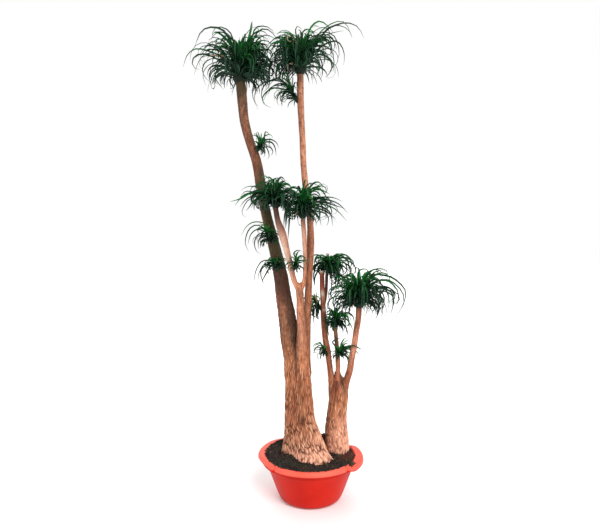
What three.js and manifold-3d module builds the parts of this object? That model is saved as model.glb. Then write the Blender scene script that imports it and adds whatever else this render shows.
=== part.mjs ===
import * as THREE from 'three';
import { mergeVertices } from 'three/addons/utils/BufferGeometryUtils.js';
import Module from 'manifold-3d';

// Two ponytail palms grown together in one planting bowl, in millimetres with +Z up. The origin is the
// middle of the bowl's underside. +X is to the right and +Y away from somebody who stands in front.

const wasm = await Module();
wasm.setup();

// Driving dimensions of the bowl
const rimHeight = 292;
const stepHeight = 225;
const footRadius = 168;
const rimRadius = 323;
const potWall = 5;
const lipDepth = 32;
const handleReach = 27;
const handleHalfAngle = 40;
const potTurn = -8;
const potSides = 36;
const drainHoles = { count: 6, radius: 6, ringRadius: 115 };

// Soil, and the gap that two touching solids keep
const gap = 0.3;
const soilEdge = 271;
const soilMound = 20;
const soilLump = 5;

// Trunks: where the flared feet meet the soil, and how fast the flare dies out going up
const soilLine = 275;
const flareFade = 120;
const corkDepth = 2.6;

// Leaves: the blade's section, and how far a leaf stays from what it doesn't grow from
const leafWidth = 16;
const keelDepth = 3.2;
const rootWidth = 0.6;
const coreSides = 8;
const leafStations = 4;
const leafSteps = 8;
const leafClearance = 21;
const stemClearance = 14;
const pointSpacing = 15;
const leafTries = 14;
const goldenShare = 0.618034;

const bark = { color: 0xa9714f, roughness: 0.9, metalness: 0 };
const redPlastic = { color: 0xd3302a, roughness: 0.45, metalness: 0 };
const darkSoil = { color: 0x2a1c18, roughness: 1, metalness: 0 };
const leafGreen = { color: 0x17472a, roughness: 0.5, metalness: 0 };

// Stems, as rows of x, y, z and radius up their middle line
const largeTrunk = {
  base: {
    sides: 34,
    rows: [
      [-22, 16, 195, 108], [-22, 14, 235, 134], [-22, 12, 275, 140], [-28, 12, 305, 133], [-35, 12, 342, 127],
      [-40, 12, 388, 121], [-48, 10, 422, 114], [-55, 8, 455, 108], [-68, 5, 522, 97], [-72, 2, 588, 92],
      [-77, 0, 688, 87], [-82, 0, 788, 85], [-85, -2, 854, 84], [-88, -2, 915, 74], [-89, 0, 965, 44],
    ],
    lobes: [[-42, 27, 76], [176, 30, 36], [-95, 26, 24], [20, 24, -14], [100, 34, 8]],
  },
  stems: {
    left: [
      [-112, 5, 780, 48], [-112, 5, 860, 58], [-122, 8, 966, 59], [-137, 14, 1047, 58], [-151, 20, 1179, 59],
      [-174, 30, 1312, 53], [-194, 40, 1445, 48], [-219, 50, 1578, 42.5], [-253, 55, 1712, 38.5],
      [-286, 60, 1845, 34], [-315, 60, 1979, 34.5], [-337, 60, 2112, 34], [-362, 55, 2244, 32],
      [-406, 50, 2376, 30], [-439, 45, 2507, 31], [-451, 40, 2637, 32.5], [-466, 40, 2800, 31],
    ],
    front: [
      [-56, -30, 790, 40], [-56, -40, 870, 45], [-58, -50, 966, 43], [-57, -64, 1060, 35],
      [-57, -70, 1126, 30.5], [-62, -75, 1192, 28], [-67, -80, 1257, 25.5], [-68, -85, 1322, 24],
      [-72, -90, 1400, 25], [-73, -91, 1435, 17],
    ],
    frontLeft: [
      [-78, -90, 1385, 17], [-107, -100, 1452, 18], [-124, -105, 1517, 18.5], [-139, -110, 1581, 18.5],
      [-155, -118, 1645, 20], [-171, -125, 1709, 24], [-189, -130, 1772, 24], [-211, -135, 1835, 18.5],
      [-226, -140, 1925, 17],
    ],
    frontRight: [
      [-66, -92, 1385, 17], [-42, -90, 1452, 13], [-36, -85, 1581, 12.5], [-41, -80, 1709, 14.5],
      [-50, -75, 1838, 15], [-53, -75, 1895, 15],
    ],
    back: [
      [-30, 20, 790, 28], [-28, 25, 870, 30], [-26, 34, 966, 28], [-24, 40, 1044, 26],
      [-20, 50, 1175, 24.5], [-16, 70, 1308, 25], [-9, 85, 1442, 22.5], [0, 95, 1577, 22],
      [2, 100, 1712, 24.5], [-1, 105, 1848, 21.5], [-17, 105, 1983, 22], [-36, 105, 2118, 21],
      [-47, 100, 2251, 20.5], [-52, 95, 2385, 20.5], [-60, 90, 2517, 21], [-66, 90, 2651, 22.5],
      [-68, 90, 2880, 21],
    ],
  },
};

const smallTrunk = {
  base: {
    sides: 26,
    rows: [
      [180, 88, 190, 52], [182, 88, 215, 66], [184, 88, 245, 75], [184, 88, 275, 77], [182, 88, 310, 79],
      [180, 90, 346, 78], [176, 92, 415, 75], [177, 94, 484, 69], [183, 94, 553, 64.5], [191, 92, 621, 64],
      [194, 91, 665, 61], [196, 90, 712, 50], [197, 88, 758, 24],
    ],
    lobes: [[-65, 30, 10], [-5, 26, 5], [150, 34, -8]],
  },
  stems: {
    sawn: [
      [158, 94, 600, 24], [152, 96, 690, 28], [145, 100, 759, 23], [137, 105, 826, 19.5],
      [127, 110, 894, 19.5], [119, 115, 961, 21], [106, 120, 1029, 20.5], [99, 125, 1097, 20],
      [94, 130, 1165, 20.5], [90, 132, 1234, 18.5], [88, 135, 1302, 17], [84, 138, 1370, 17],
      [80, 140, 1502, 16],
    ],
    besideCut: [[92, 134, 1250, 9], [104, 136, 1310, 10.5], [112, 139, 1400, 10.5], [117, 140, 1560, 11]],
    middle: [
      [192, 86, 600, 22], [190, 84, 690, 30], [188, 82, 760, 21], [188, 78, 832, 16],
      [186, 70, 902, 16.5], [182, 65, 971, 15], [176, 60, 1039, 13.5], [169, 60, 1107, 13],
      [170, 60, 1165, 13],
    ],
    right: [
      [216, 92, 600, 24], [230, 88, 690, 31], [246, 78, 735, 26], [256, 70, 766, 24],
      [266, 55, 837, 22], [275, 45, 907, 20.5], [288, 35, 976, 20.5], [298, 30, 1044, 20],
      [307, 25, 1112, 20], [317, 20, 1179, 19], [321, 15, 1247, 20], [323, 15, 1315, 19],
    ],
  },
};

// Heads of leaves. at is where the core starts, core is its radius and height, tilt leans the core.
// facing and spread (degrees) give the side that leaves leave on, rise their first slope from the outermost
// leaf to the innermost, bend how far each then turns down, and length its length, for the same two.
// pull lengthens the leaves that leave near an angle: that angle, and the extra share.
const heads = [
  {
    name: 'crown_left', seed: 11, at: [-466, 40, 2762], core: [50, 130], tilt: [0, 0], count: 36,
    facing: 180, spread: 180, rise: [2, 84], bend: [80, 175], length: [330, 530], pull: [180, 0.12],
  },
  {
    name: 'crown_top', seed: 23, at: [-68, 90, 2838], core: [42, 120], tilt: [0, 0], count: 36,
    facing: 0, spread: 180, rise: [-8, 74], bend: [75, 178], length: [330, 520], pull: [0, 0.14],
  },
  {
    name: 'crown_middle_left', seed: 31, at: [-222, -139, 1890], core: [30, 85], tilt: [-6, 0], count: 24,
    facing: 200, spread: 180, rise: [-10, 72], bend: [75, 185], length: [215, 320], pull: [180, 0.08],
  },
  {
    name: 'crown_middle_right', seed: 47, at: [-53, -75, 1862], core: [30, 85], tilt: [2, -2], count: 24,
    facing: 0, spread: 180, rise: [-5, 72], bend: [80, 170], length: [230, 360], pull: [0, 0.22],
  },
  {
    name: 'crown_right', seed: 59, at: [322, 15, 1280], core: [42, 105], tilt: [4, 0], count: 34,
    facing: 0, spread: 180, rise: [-5, 78], bend: [85, 180], length: [250, 390], pull: [0, 0.16],
  },
  {
    name: 'crown_sawn_stem', seed: 61, at: [117, 140, 1522], core: [26, 75], tilt: [8, 0], count: 20,
    facing: 15, spread: 165, rise: [-12, 70], bend: [75, 160], length: [195, 290], pull: [0, 0.05],
  },
  {
    name: 'crown_short_stem', seed: 73, at: [170, 60, 1135], core: [22, 62], tilt: [2, 0], count: 16,
    facing: 0, spread: 180, rise: [0, 68], bend: [60, 130], length: [130, 200], pull: [0, 0.15],
  },
  {
    name: 'shoot_top', seed: 83, at: [-84, 84, 2636], core: [13, 80], tilt: [-48, -6], count: 10,
    facing: 190, spread: 110, rise: [-10, 62], bend: [60, 130], length: [180, 290], pull: [180, 0.1],
  },
  {
    name: 'shoot_upper', seed: 97, at: [-358, 46, 2300], core: [14, 62], tilt: [36, -12], count: 11,
    facing: -10, spread: 140, rise: [-10, 75], bend: [70, 140], length: [110, 175], pull: [0, 0.1],
  },
  {
    name: 'shoot_left_high', seed: 101, at: [-262, 24, 1700], core: [16, 66], tilt: [-26, -26], count: 11,
    facing: 195, spread: 95, rise: [-5, 66], bend: [90, 170], length: [170, 250], pull: [180, 0.1],
  },
  {
    name: 'shoot_left_low', seed: 113, at: [-222, 6, 1535], core: [16, 62], tilt: [-20, -30], count: 10,
    facing: 205, spread: 105, rise: [-5, 60], bend: [80, 140], length: [140, 215], pull: [180, 0.15],
  },
  {
    name: 'shoot_fork', seed: 127, at: [-104, -108, 1526], core: [12, 58], tilt: [14, -24], count: 8,
    facing: -60, spread: 120, rise: [-10, 70], bend: [60, 150], length: [90, 160], pull: [0, 0],
  },
  {
    name: 'shoot_small_left', seed: 131, at: [84, 118, 1240], core: [12, 56], tilt: [-30, -14], count: 9,
    facing: 190, spread: 90, rise: [-30, 78], bend: [70, 120], length: [120, 210], pull: [0, 0],
  },
  {
    name: 'shoot_small_mid', seed: 149, at: [184, 54, 930], core: [12, 50], tilt: [16, -26], count: 10,
    facing: -40, spread: 125, rise: [0, 72], bend: [60, 130], length: [90, 150], pull: [0, 0.2],
  },
  {
    name: 'shoot_small_low', seed: 151, at: [112, 94, 935], core: [12, 50], tilt: [-26, -20], count: 7,
    facing: 200, spread: 100, rise: [0, 66], bend: [60, 120], length: [80, 120], pull: [180, 0.1],
  },
];

// The one dark shoot that still stands straight up out of the left head
const spear = { head: 'crown_left', azimuth: 5, rise: 80, bend: 14, length: 290, width: 20 };

const degrees = Math.PI / 180;
const up = new THREE.Vector3(0, 0, 1);

// Seeded numbers from 0 to 1, so that each build grows the same plant
function seededNumbers(seed) {
  let state = seed;
  return () => {
    state = (state * 1664525 + 1013904223) % 4294967296;
    return state / 4294967296;
  };
}

function mix(from, to, share) {
  return from + (to - from) * share;
}

// A closed body from rings of points that run counter-clockwise seen from the last ring. A ring of one
// point closes the body to a tip, and any other end ring is closed by a flat face.
function loft(rings) {
  const positions = rings.flat().flatMap((point) => point.toArray());
  const starts = [];
  let total = 0;
  for (const ring of rings) {
    starts.push(total);
    total += ring.length;
  }
  const faces = [];
  for (let i = 0; i + 1 < rings.length; i += 1) {
    const count = rings[i].length;
    for (let j = 0; j < count; j += 1) {
      const next = (j + 1) % count;
      if (rings[i + 1].length === 1) {
        faces.push(starts[i] + j, starts[i] + next, starts[i + 1]);
        continue;
      }
      faces.push(starts[i] + j, starts[i] + next, starts[i + 1] + next);
      faces.push(starts[i] + j, starts[i + 1] + next, starts[i + 1] + j);
    }
  }
  closeEnd(faces, starts[0], rings[0].length, true);
  closeEnd(faces, starts[rings.length - 1], rings[rings.length - 1].length, false);
  const geometry = new THREE.BufferGeometry();
  geometry.setAttribute('position', new THREE.Float32BufferAttribute(positions, 3));
  geometry.setIndex(faces);
  return geometry;
}

function closeEnd(faces, start, count, facesDown) {
  for (let j = 1; j + 1 < count; j += 1) {
    const pair = facesDown ? [start + j + 1, start + j] : [start + j, start + j + 1];
    faces.push(start, ...pair);
  }
}

// A solid that can be joined and cut, and back to a geometry
function solidOf(source) {
  const bare = source.clone();
  bare.deleteAttribute('normal');
  bare.deleteAttribute('uv');
  const merged = mergeVertices(bare, 1e-4);
  return new wasm.Manifold(new wasm.Mesh({
    numProp: 3,
    vertProperties: new Float32Array(merged.attributes.position.array),
    triVerts: new Uint32Array(merged.index.array),
  }));
}

function geometryOf(solid) {
  const mesh = solid.getMesh();
  const geometry = new THREE.BufferGeometry();
  geometry.setAttribute('position', new THREE.BufferAttribute(new Float32Array(mesh.vertProperties), 3));
  geometry.setIndex(new THREE.BufferAttribute(new Uint32Array(mesh.triVerts), 1));
  geometry.computeVertexNormals();
  return geometry;
}

function joined(solids) {
  return solids.reduce((whole, solid) => whole.add(solid));
}

// The largest of the bodies in a solid: cutting a head to its stem can leave a loose scrap of leaf
function largestBody(solid) {
  const bodies = solid.decompose();
  return bodies.reduce((best, body) => (body.volume() > best.volume() ? body : best));
}

function piece(name, geometry, finish) {
  const mesh = new THREE.Mesh(geometry, new THREE.MeshStandardMaterial(finish));
  mesh.name = name;
  return mesh;
}

// Inside of the bowl, from its floor up to the step
const innerBowl = [[0, 6], [footRadius - 2, 6], [191, 16], [213, 54]];

// Bowl: one turned wall with its lip folded out and down, drawn out to a handle on two sides
function bowlProfile() {
  const underLip = rimHeight - 7;
  const outer = [
    [0, 0], [footRadius, 0], [194, 11], [218, 52], [283, stepHeight - 3], [287, stepHeight + 1],
    [296, underLip - 6], [301, underLip],
  ];
  const lip = [
    [rimRadius - 8, underLip], [rimRadius - 5, rimHeight - lipDepth], [rimRadius, rimHeight - lipDepth],
    [rimRadius, rimHeight - 9], [rimRadius - 11, rimHeight],
  ];
  const inner = [
    [299, rimHeight], [296 - potWall, underLip - 6], [287 - potWall, stepHeight + 3],
    ...innerBowl.toReversed(),
  ];
  return [...outer, ...lip, ...inner].map(([radius, height]) => new THREE.Vector2(radius, height));
}

// A profile turned about Z, with its first side on the handles' axis
function turned(profile, sides) {
  const geometry = new THREE.LatheGeometry(profile, sides);
  geometry.rotateX(Math.PI / 2);
  return geometry;
}

function pullHandles(geometry) {
  const at = geometry.attributes.position;
  for (let i = 0; i < at.count; i += 1) {
    const point = new THREE.Vector3().fromBufferAttribute(at, i);
    const radius = Math.hypot(point.x, point.y);
    if (radius < rimRadius - 15 || point.z < rimHeight - lipDepth - 1) continue;
    const fromAxis = Math.abs(Math.atan2(point.y, Math.abs(point.x))) / degrees;
    if (fromAxis > handleHalfAngle) continue;
    const stretch = (radius + handleReach) / radius;
    at.setXY(i, point.x * stretch, point.y * stretch);
  }
}

function bowl() {
  const shell = turned(bowlProfile(), potSides);
  pullHandles(shell);
  let solid = solidOf(shell);
  for (let i = 0; i < drainHoles.count; i += 1) {
    const angle = (i * 2 * Math.PI) / drainHoles.count;
    const drill = new THREE.CylinderGeometry(drainHoles.radius, drainHoles.radius, 40, 10);
    drill.rotateX(Math.PI / 2);
    drill.translate(drainHoles.ringRadius * Math.cos(angle), drainHoles.ringRadius * Math.sin(angle), 0);
    solid = solid.subtract(solidOf(drill));
  }
  const geometry = geometryOf(solid);
  geometry.rotateZ(potTurn * degrees);
  return geometry;
}

// Height of the soil: heaped against the large trunk's front and left, and lumpy all over
function soilHeight(x, y) {
  const heap = Math.exp(-(((x + 85) / 140) ** 2) - ((y + 20) / 140) ** 2);
  const broad = Math.sin(x / 31 + y / 47) * Math.cos(y / 29 - x / 53);
  const small = Math.sin(x / 17) * Math.sin(y / 19);
  return soilEdge + soilMound * heap + soilLump * (broad + 0.6 * small);
}

// Soil: fills the bowl to just under its lip, with a hole where each trunk stands
function soil(trunkHoles) {
  const wall = [...innerBowl, [287 - potWall, stepHeight + 3], [288, soilEdge - 6]];
  const profile = wall.map(([radius, height]) => (
    new THREE.Vector2(Math.max(0, radius - 2 * gap), height + 2 * gap)
  ));
  for (const radius of [274, 240, 195, 145, 90, 0]) {
    profile.push(new THREE.Vector2(radius, soilEdge + 1));
  }
  const geometry = turned(profile, potSides);
  geometry.rotateZ(potTurn * degrees);
  const at = geometry.attributes.position;
  for (let i = 0; i < at.count; i += 1) {
    if (at.getZ(i) < soilEdge) continue;
    at.setZ(i, soilHeight(at.getX(i), at.getY(i)));
  }
  return geometryOf(largestBody(solidOf(geometry).subtract(trunkHoles)));
}

// How far a foot's lobes push its outline out at an angle, at a height
function lobeReach(lobes, angle, height) {
  const fade = Math.exp(-Math.max(0, height - soilLine) / flareFade);
  let reach = 0;
  for (const [middle, width, size] of lobes) {
    const away = ((angle / degrees - middle + 540) % 360) - 180;
    reach += size * Math.exp(-((away / width) ** 2));
  }
  return reach * fade;
}

// Corky bark drawn as a coarse diamond net of ridges, strongest on the foot
function corkRelief(angle, height) {
  const net = Math.sin(9 * angle + height / 17) * Math.sin(9 * angle - height / 21);
  const low = mix(1, 0.45, Math.min(1, Math.max(0, (height - soilLine) / 400)));
  return height < soilLine - 20 ? 0 : corkDepth * net * low;
}

// A trunk's foot: rings around the middle line, flared by its lobes and ridged by the bark
function foot(base, grow) {
  const last = base.rows.length - 1;
  const rings = base.rows.map(([x, y, z, radius], row) => {
    const ring = [];
    const height = z + (row === 0 ? -grow : 0) + (row === last ? grow : 0);
    for (let j = 0; j < base.sides; j += 1) {
      const angle = (j * 2 * Math.PI) / base.sides;
      const reach = radius + grow + lobeReach(base.lobes, angle, z) + corkRelief(angle, z);
      ring.push(new THREE.Vector3(x + reach * Math.cos(angle), y + reach * Math.sin(angle), height));
    }
    return ring;
  });
  return loft(rings);
}

// A round ring across a stem
function ringAcross(centre, direction, radius, sides) {
  const across = new THREE.Vector3(1, 0, 0).addScaledVector(direction, -direction.x).normalize();
  const along = new THREE.Vector3().crossVectors(direction, across);
  const ring = [];
  for (let j = 0; j < sides; j += 1) {
    const angle = (j * 2 * Math.PI) / sides;
    const point = centre.clone().addScaledVector(across, radius * Math.cos(angle));
    ring.push(point.addScaledVector(along, radius * Math.sin(angle)));
  }
  return ring;
}

// A stem: round rings on a smooth curve through its rows
function stem(rows, grow) {
  const curve = new THREE.CatmullRomCurve3(rows.map(([x, y, z]) => new THREE.Vector3(x, y, z)));
  const last = rows.length - 1;
  const sides = Math.max(...rows.map((row) => row[3])) > 32 ? 12 : 8;
  const rings = rows.map(([, , , radius], i) => {
    const direction = curve.getTangent(i / last);
    const centre = curve.getPoint(i / last);
    centre.addScaledVector(direction, i === last ? grow : 0);
    centre.addScaledVector(direction, i === 0 ? -grow : 0);
    return ringAcross(centre, direction, radius + grow, sides);
  });
  return loft(rings);
}

function trunk(plan, grow) {
  const parts = [foot(plan.base, grow)];
  for (const rows of Object.values(plan.stems)) parts.push(stem(rows, grow));
  return joined(parts.map(solidOf));
}

// Points every few centimetres up all stems, with the stem's radius, to keep leaves clear of them
function stemPoints(plan) {
  const points = [];
  for (const rows of [plan.base.rows, ...Object.values(plan.stems)]) {
    const curve = new THREE.CatmullRomCurve3(rows.map(([x, y, z]) => new THREE.Vector3(x, y, z)));
    const steps = rows.length * 5;
    for (let i = 0; i <= steps; i += 1) {
      const row = Math.min(rows.length - 2, Math.floor((i / steps) * (rows.length - 1)));
      const share = (i / steps) * (rows.length - 1) - row;
      points.push({ at: curve.getPoint(i / steps), radius: mix(rows[row][3], rows[row + 1][3], share) });
    }
  }
  return points;
}

// Stations up a leaf's middle line: it leaves its root at one slope, and turns steadily down in a plane
// that its sweep twists a little
function leafLine(leaf) {
  const at = leaf.root.clone();
  const steps = leafStations * leafSteps;
  const line = [];
  for (let i = 0; i <= steps; i += 1) {
    const share = i / steps;
    const slope = (leaf.rise - leaf.bend * share ** 1.15) * degrees;
    const heading = (leaf.azimuth + leaf.sweep * share * share) * degrees;
    const outward = new THREE.Vector3(Math.cos(heading), Math.sin(heading), 0);
    const direction = outward.clone().multiplyScalar(Math.cos(slope)).addScaledVector(up, Math.sin(slope));
    const side = new THREE.Vector3(outward.y, -outward.x, 0);
    if (i % leafSteps === 0) line.push({ at: at.clone(), direction, side });
    at.addScaledVector(direction, leaf.length / steps);
  }
  return line;
}

// Points a little way apart along the straight stretches between a leaf's stations
function pointsAlong(line, length) {
  const count = Math.ceil(length / leafStations / pointSpacing);
  const points = [line[0].at.clone()];
  for (let i = 0; i + 1 < line.length; i += 1) {
    for (let j = 1; j <= count; j += 1) points.push(line[i].at.clone().lerp(line[i + 1].at, j / count));
  }
  return points;
}

// A leaf: a long keeled blade of three faces, widest near its root and drawn out to a point
function blade(leaf) {
  const rings = leafLine(leaf).map(({ at, direction, side }, i) => {
    const share = i / leafStations;
    if (share === 1) return [at];
    const half = (leaf.width / 2) * (i === 0 ? rootWidth : 1 - 0.75 * share ** 1.6);
    const below = new THREE.Vector3().crossVectors(side, direction);
    below.multiplyScalar(-keelDepth * (1 - 0.55 * share));
    return [
      at.clone().add(below),
      at.clone().addScaledVector(side, -half),
      at.clone().addScaledVector(side, half),
    ];
  });
  return loft(rings);
}

// The head's core: the tight, swollen bases of its leaves, on the stem's end
function coreAxis(head) {
  return new THREE.Vector3(head.tilt[0], head.tilt[1], head.core[1]).normalize();
}

function core(head) {
  const [radius, height] = head.core;
  const axis = coreAxis(head);
  const start = new THREE.Vector3(...head.at);
  const outline = [[0, 0.82], [0.3, 1], [0.7, 0.8], [0.95, 0.36]];
  const rings = outline.map(([share, width]) => {
    const centre = start.clone().addScaledVector(axis, share * height);
    return ringAcross(centre, axis, radius * width, coreSides);
  });
  rings.push([start.clone().addScaledVector(axis, height * 1.08)]);
  return loft(rings);
}

// The leaves of a head before any is turned clear: outermost first, placed round it by the golden section
function drawnLeaf(head, index, random) {
  const share = (index + 0.5) / head.count;
  const turn = ((index * goldenShare) % 1) * 2 - 1;
  const azimuth = head.facing + head.spread * turn + mix(-7, 7, random());
  const away = (azimuth - head.pull[0]) * degrees;
  const longer = 1 + head.pull[1] * Math.max(0, Math.cos(away));
  const seat = mix(0.3, 0.85, share) * head.core[1];
  const outward = new THREE.Vector3(Math.cos(azimuth * degrees), Math.sin(azimuth * degrees), 0);
  const root = new THREE.Vector3(...head.at).addScaledVector(coreAxis(head), seat);
  return {
    root: root.addScaledVector(outward, head.core[0] * mix(0.62, 0.3, share)),
    azimuth,
    rise: mix(head.rise[0], head.rise[1], share ** 0.9) + mix(-6, 6, random()),
    bend: mix(head.bend[0], head.bend[1], share) * mix(0.88, 1.1, random()),
    length: mix(head.length[0], head.length[1], share ** 0.7) * mix(0.88, 1.08, random()) * longer,
    sweep: mix(-16, 16, random()),
    width: leafWidth * mix(0.85, 1.1, random()) * (head.core[0] > 20 ? 1 : 0.75),
  };
}

// Clear of every stem and of every leaf of another head, once it has left its own core
function isClear(points, head, stems, placed) {
  const reach = head.core[0] * 1.6;
  const free = points.filter((point) => point.distanceTo(points[0]) > reach);
  for (const point of free) {
    if (stems.some(({ at, radius }) => point.distanceTo(at) < radius + stemClearance)) return false;
  }
  for (const point of points) {
    for (const other of placed) {
      if (other.head !== head && point.distanceTo(other.at) < leafClearance + other.extra) return false;
    }
  }
  return true;
}

// Tries a leaf as drawn, then turned and bent a little more each time, and drops it when nothing is clear
function clearedLeaf(drawn, head, stems, placed, random) {
  for (let attempt = 0; attempt < leafTries; attempt += 1) {
    const reach = attempt / leafTries;
    const leaf = {
      ...drawn,
      azimuth: drawn.azimuth + mix(-60, 60, random()) * reach,
      rise: drawn.rise + mix(-25, 25, random()) * reach,
      length: drawn.length * (1 - 0.35 * reach),
    };
    const points = pointsAlong(leafLine(leaf), leaf.length);
    if (isClear(points, head, stems, placed)) return { leaf, points };
  }
  return null;
}

function coreSamples(head) {
  const samples = [];
  for (const share of [0.1, 0.35, 0.6, 0.85, 1.05]) {
    const at = new THREE.Vector3(...head.at).addScaledVector(coreAxis(head), share * head.core[1]);
    samples.push({ head, at, extra: head.core[0] * (share < 0.8 ? 1 : 0.6) });
  }
  return samples;
}

function growHeads(stems) {
  const placed = heads.flatMap(coreSamples);
  const grown = [];
  const order = [...heads].sort((a, b) => a.count - b.count);
  for (const head of order) {
    const random = seededNumbers(head.seed);
    const leaves = [];
    const drawn = [];
    if (head.name === spear.head) drawn.push({ ...drawnLeaf(head, head.count - 1, random), ...spear });
    for (let i = 0; i < head.count; i += 1) drawn.push(drawnLeaf(head, i, random));
    for (const candidate of drawn) {
      const found = clearedLeaf(candidate, head, stems, placed, random);
      if (!found) continue;
      leaves.push(found.leaf);
      placed.push(...found.points.map((at) => ({ head, at, extra: 0 })));
    }
    grown.push({ head, leaves });
  }
  return grown;
}

function headGeometry({ head, leaves }, trunkSpace) {
  const solids = [core(head), ...leaves.map(blade)].map(solidOf);
  return geometryOf(largestBody(wasm.Manifold.union(solids).subtract(trunkSpace)));
}

const palm = new THREE.Group();
palm.name = 'potted_ponytail_palm';

const trunkSpace = trunk(largeTrunk, gap).add(trunk(smallTrunk, gap));
palm.add(piece('pot', bowl(), redPlastic));
palm.add(piece('soil', soil(trunkSpace), darkSoil));
palm.add(piece('trunk_large', geometryOf(trunk(largeTrunk, 0)), bark));
palm.add(piece('trunk_small', geometryOf(trunk(smallTrunk, 0)), bark));
for (const grown of growHeads([...stemPoints(largeTrunk), ...stemPoints(smallTrunk)])) {
  palm.add(piece(grown.head.name, headGeometry(grown, trunkSpace), leafGreen));
}

export default palm;
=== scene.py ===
import math

import bpy
import numpy as np
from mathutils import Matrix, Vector
from mathutils.bvhtree import BVHTree
from mathutils.kdtree import KDTree


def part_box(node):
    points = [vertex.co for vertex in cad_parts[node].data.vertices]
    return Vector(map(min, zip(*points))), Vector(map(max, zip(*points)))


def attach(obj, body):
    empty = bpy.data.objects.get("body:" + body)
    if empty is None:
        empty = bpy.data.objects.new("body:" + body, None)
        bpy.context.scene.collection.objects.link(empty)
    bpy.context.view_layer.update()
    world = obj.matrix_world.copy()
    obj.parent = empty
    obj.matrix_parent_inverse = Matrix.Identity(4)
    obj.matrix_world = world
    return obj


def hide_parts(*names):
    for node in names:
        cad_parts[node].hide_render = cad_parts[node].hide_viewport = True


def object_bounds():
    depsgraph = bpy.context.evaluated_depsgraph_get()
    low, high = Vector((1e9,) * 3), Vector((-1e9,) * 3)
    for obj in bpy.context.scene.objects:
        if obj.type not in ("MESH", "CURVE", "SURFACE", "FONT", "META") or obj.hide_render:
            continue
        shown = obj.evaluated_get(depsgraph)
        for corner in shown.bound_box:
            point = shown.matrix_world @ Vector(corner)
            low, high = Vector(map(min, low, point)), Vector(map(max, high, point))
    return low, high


# Two ponytail palms grown together in a red planting bowl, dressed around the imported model.
# Everything is in metres, +Z up, with the middle of the bowl's underside at the origin.

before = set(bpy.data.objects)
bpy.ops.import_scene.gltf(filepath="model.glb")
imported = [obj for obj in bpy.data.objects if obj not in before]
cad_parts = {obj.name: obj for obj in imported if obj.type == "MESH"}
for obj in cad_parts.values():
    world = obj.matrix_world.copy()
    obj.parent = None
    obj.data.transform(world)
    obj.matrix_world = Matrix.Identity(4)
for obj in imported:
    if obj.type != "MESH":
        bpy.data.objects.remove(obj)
cadLow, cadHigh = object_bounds()
print("frame loaded,", len(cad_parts), "nodes")


# Camera: 3.6 m in front of the bowl and a little to its left, at the height of the middle heads
cameraView = {"place": (-0.0692, -3.6, 1.65), "lookDown": 1.5, "lens": 32.76, "sensor": 36.0, "farEnd": 200}


# Links a new object to the scene
def addObject(name, data):
    thing = bpy.data.objects.new(name, data)
    bpy.context.scene.collection.objects.link(thing)
    return thing


def makeCamera(view):
    camera = addObject("camera", bpy.data.cameras.new("camera"))
    camera.data.lens = view["lens"]
    camera.data.sensor_width = view["sensor"]
    camera.data.clip_end = view["farEnd"]
    camera.location = view["place"]
    camera.rotation_euler = (math.radians(90 - view["lookDown"]), 0, 0)
    bpy.context.scene.camera = camera


makeCamera(cameraView)


# Studio: near-white floor, white surroundings and soft suns, each turned by its tilt from straight down
# and then by its heading
studio = {
    "floor": "faf9f8",
    "floorHalf": 60.0,
    "floorRoughness": 0.9,
    "surroundings": 0.75,
    "backdrop": 1.0,
    "suns": [
        {"name": "key", "tilt": 50, "heading": 24, "strength": 2.2, "softness": 30},
        {"name": "fill", "tilt": 58, "heading": -50, "strength": 0.45, "softness": 60},
        {"name": "rim", "tilt": 50, "heading": 190, "strength": 0.9, "softness": 50},
    ],
}


# sRGB hex to the linear colour that shaders take
def linear(hexCode):
    parts = [int(hexCode[i:i + 2], 16) / 255 for i in (0, 2, 4)]
    return tuple([p / 12.92 if p <= 0.04045 else ((p + 0.055) / 1.055) ** 2.4 for p in parts] + [1.0])


# Adds one node and gives its chosen output, if it has any. inputs are values or the sockets they come from,
# and settings are the node's own properties.
def addNode(tree, kind, inputs=None, output=0, **settings):
    node = tree.nodes.new("ShaderNode" + kind)
    for name, value in settings.items():
        setattr(node, name, value)
    for name, value in (inputs or {}).items():
        if isinstance(value, bpy.types.NodeSocket):
            tree.links.new(value, node.inputs[name])
        else:
            node.inputs[name].default_value = value
    return node.outputs[output] if len(node.outputs) else None


# Lays colours over a first one. A layer's share goes from its least to its full amount while what it
# follows goes from start to stop, and is multiplied by the value that it may be held within.
def layColours(tree, colour, layers):
    colour = linear(colour) if isinstance(colour, str) else colour
    for follows, start, stop, least, full, over, *within in layers:
        share = addNode(tree, "MapRange", {
            "Value": follows, "From Min": start, "From Max": stop, "To Min": least, "To Max": full})
        for value in within:
            share = addNode(tree, "Math", {0: share, 1: value}, operation="MULTIPLY")
        over = linear(over) if isinstance(over, str) else over
        colour = addNode(tree, "Mix", {0: share, 6: colour, 7: over}, 2, data_type="RGBA")
    return colour


# A material with an empty tree, and the function that closes the tree with its shader's values
def newMaterial(name):
    material = bpy.data.materials.new(name)
    material.use_nodes = True
    material.node_tree.nodes.clear()
    return material, material.node_tree


def closeMaterial(tree, inputs):
    addNode(tree, "OutputMaterial", {"Surface": addNode(tree, "BsdfPrincipled", inputs)})


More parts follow.
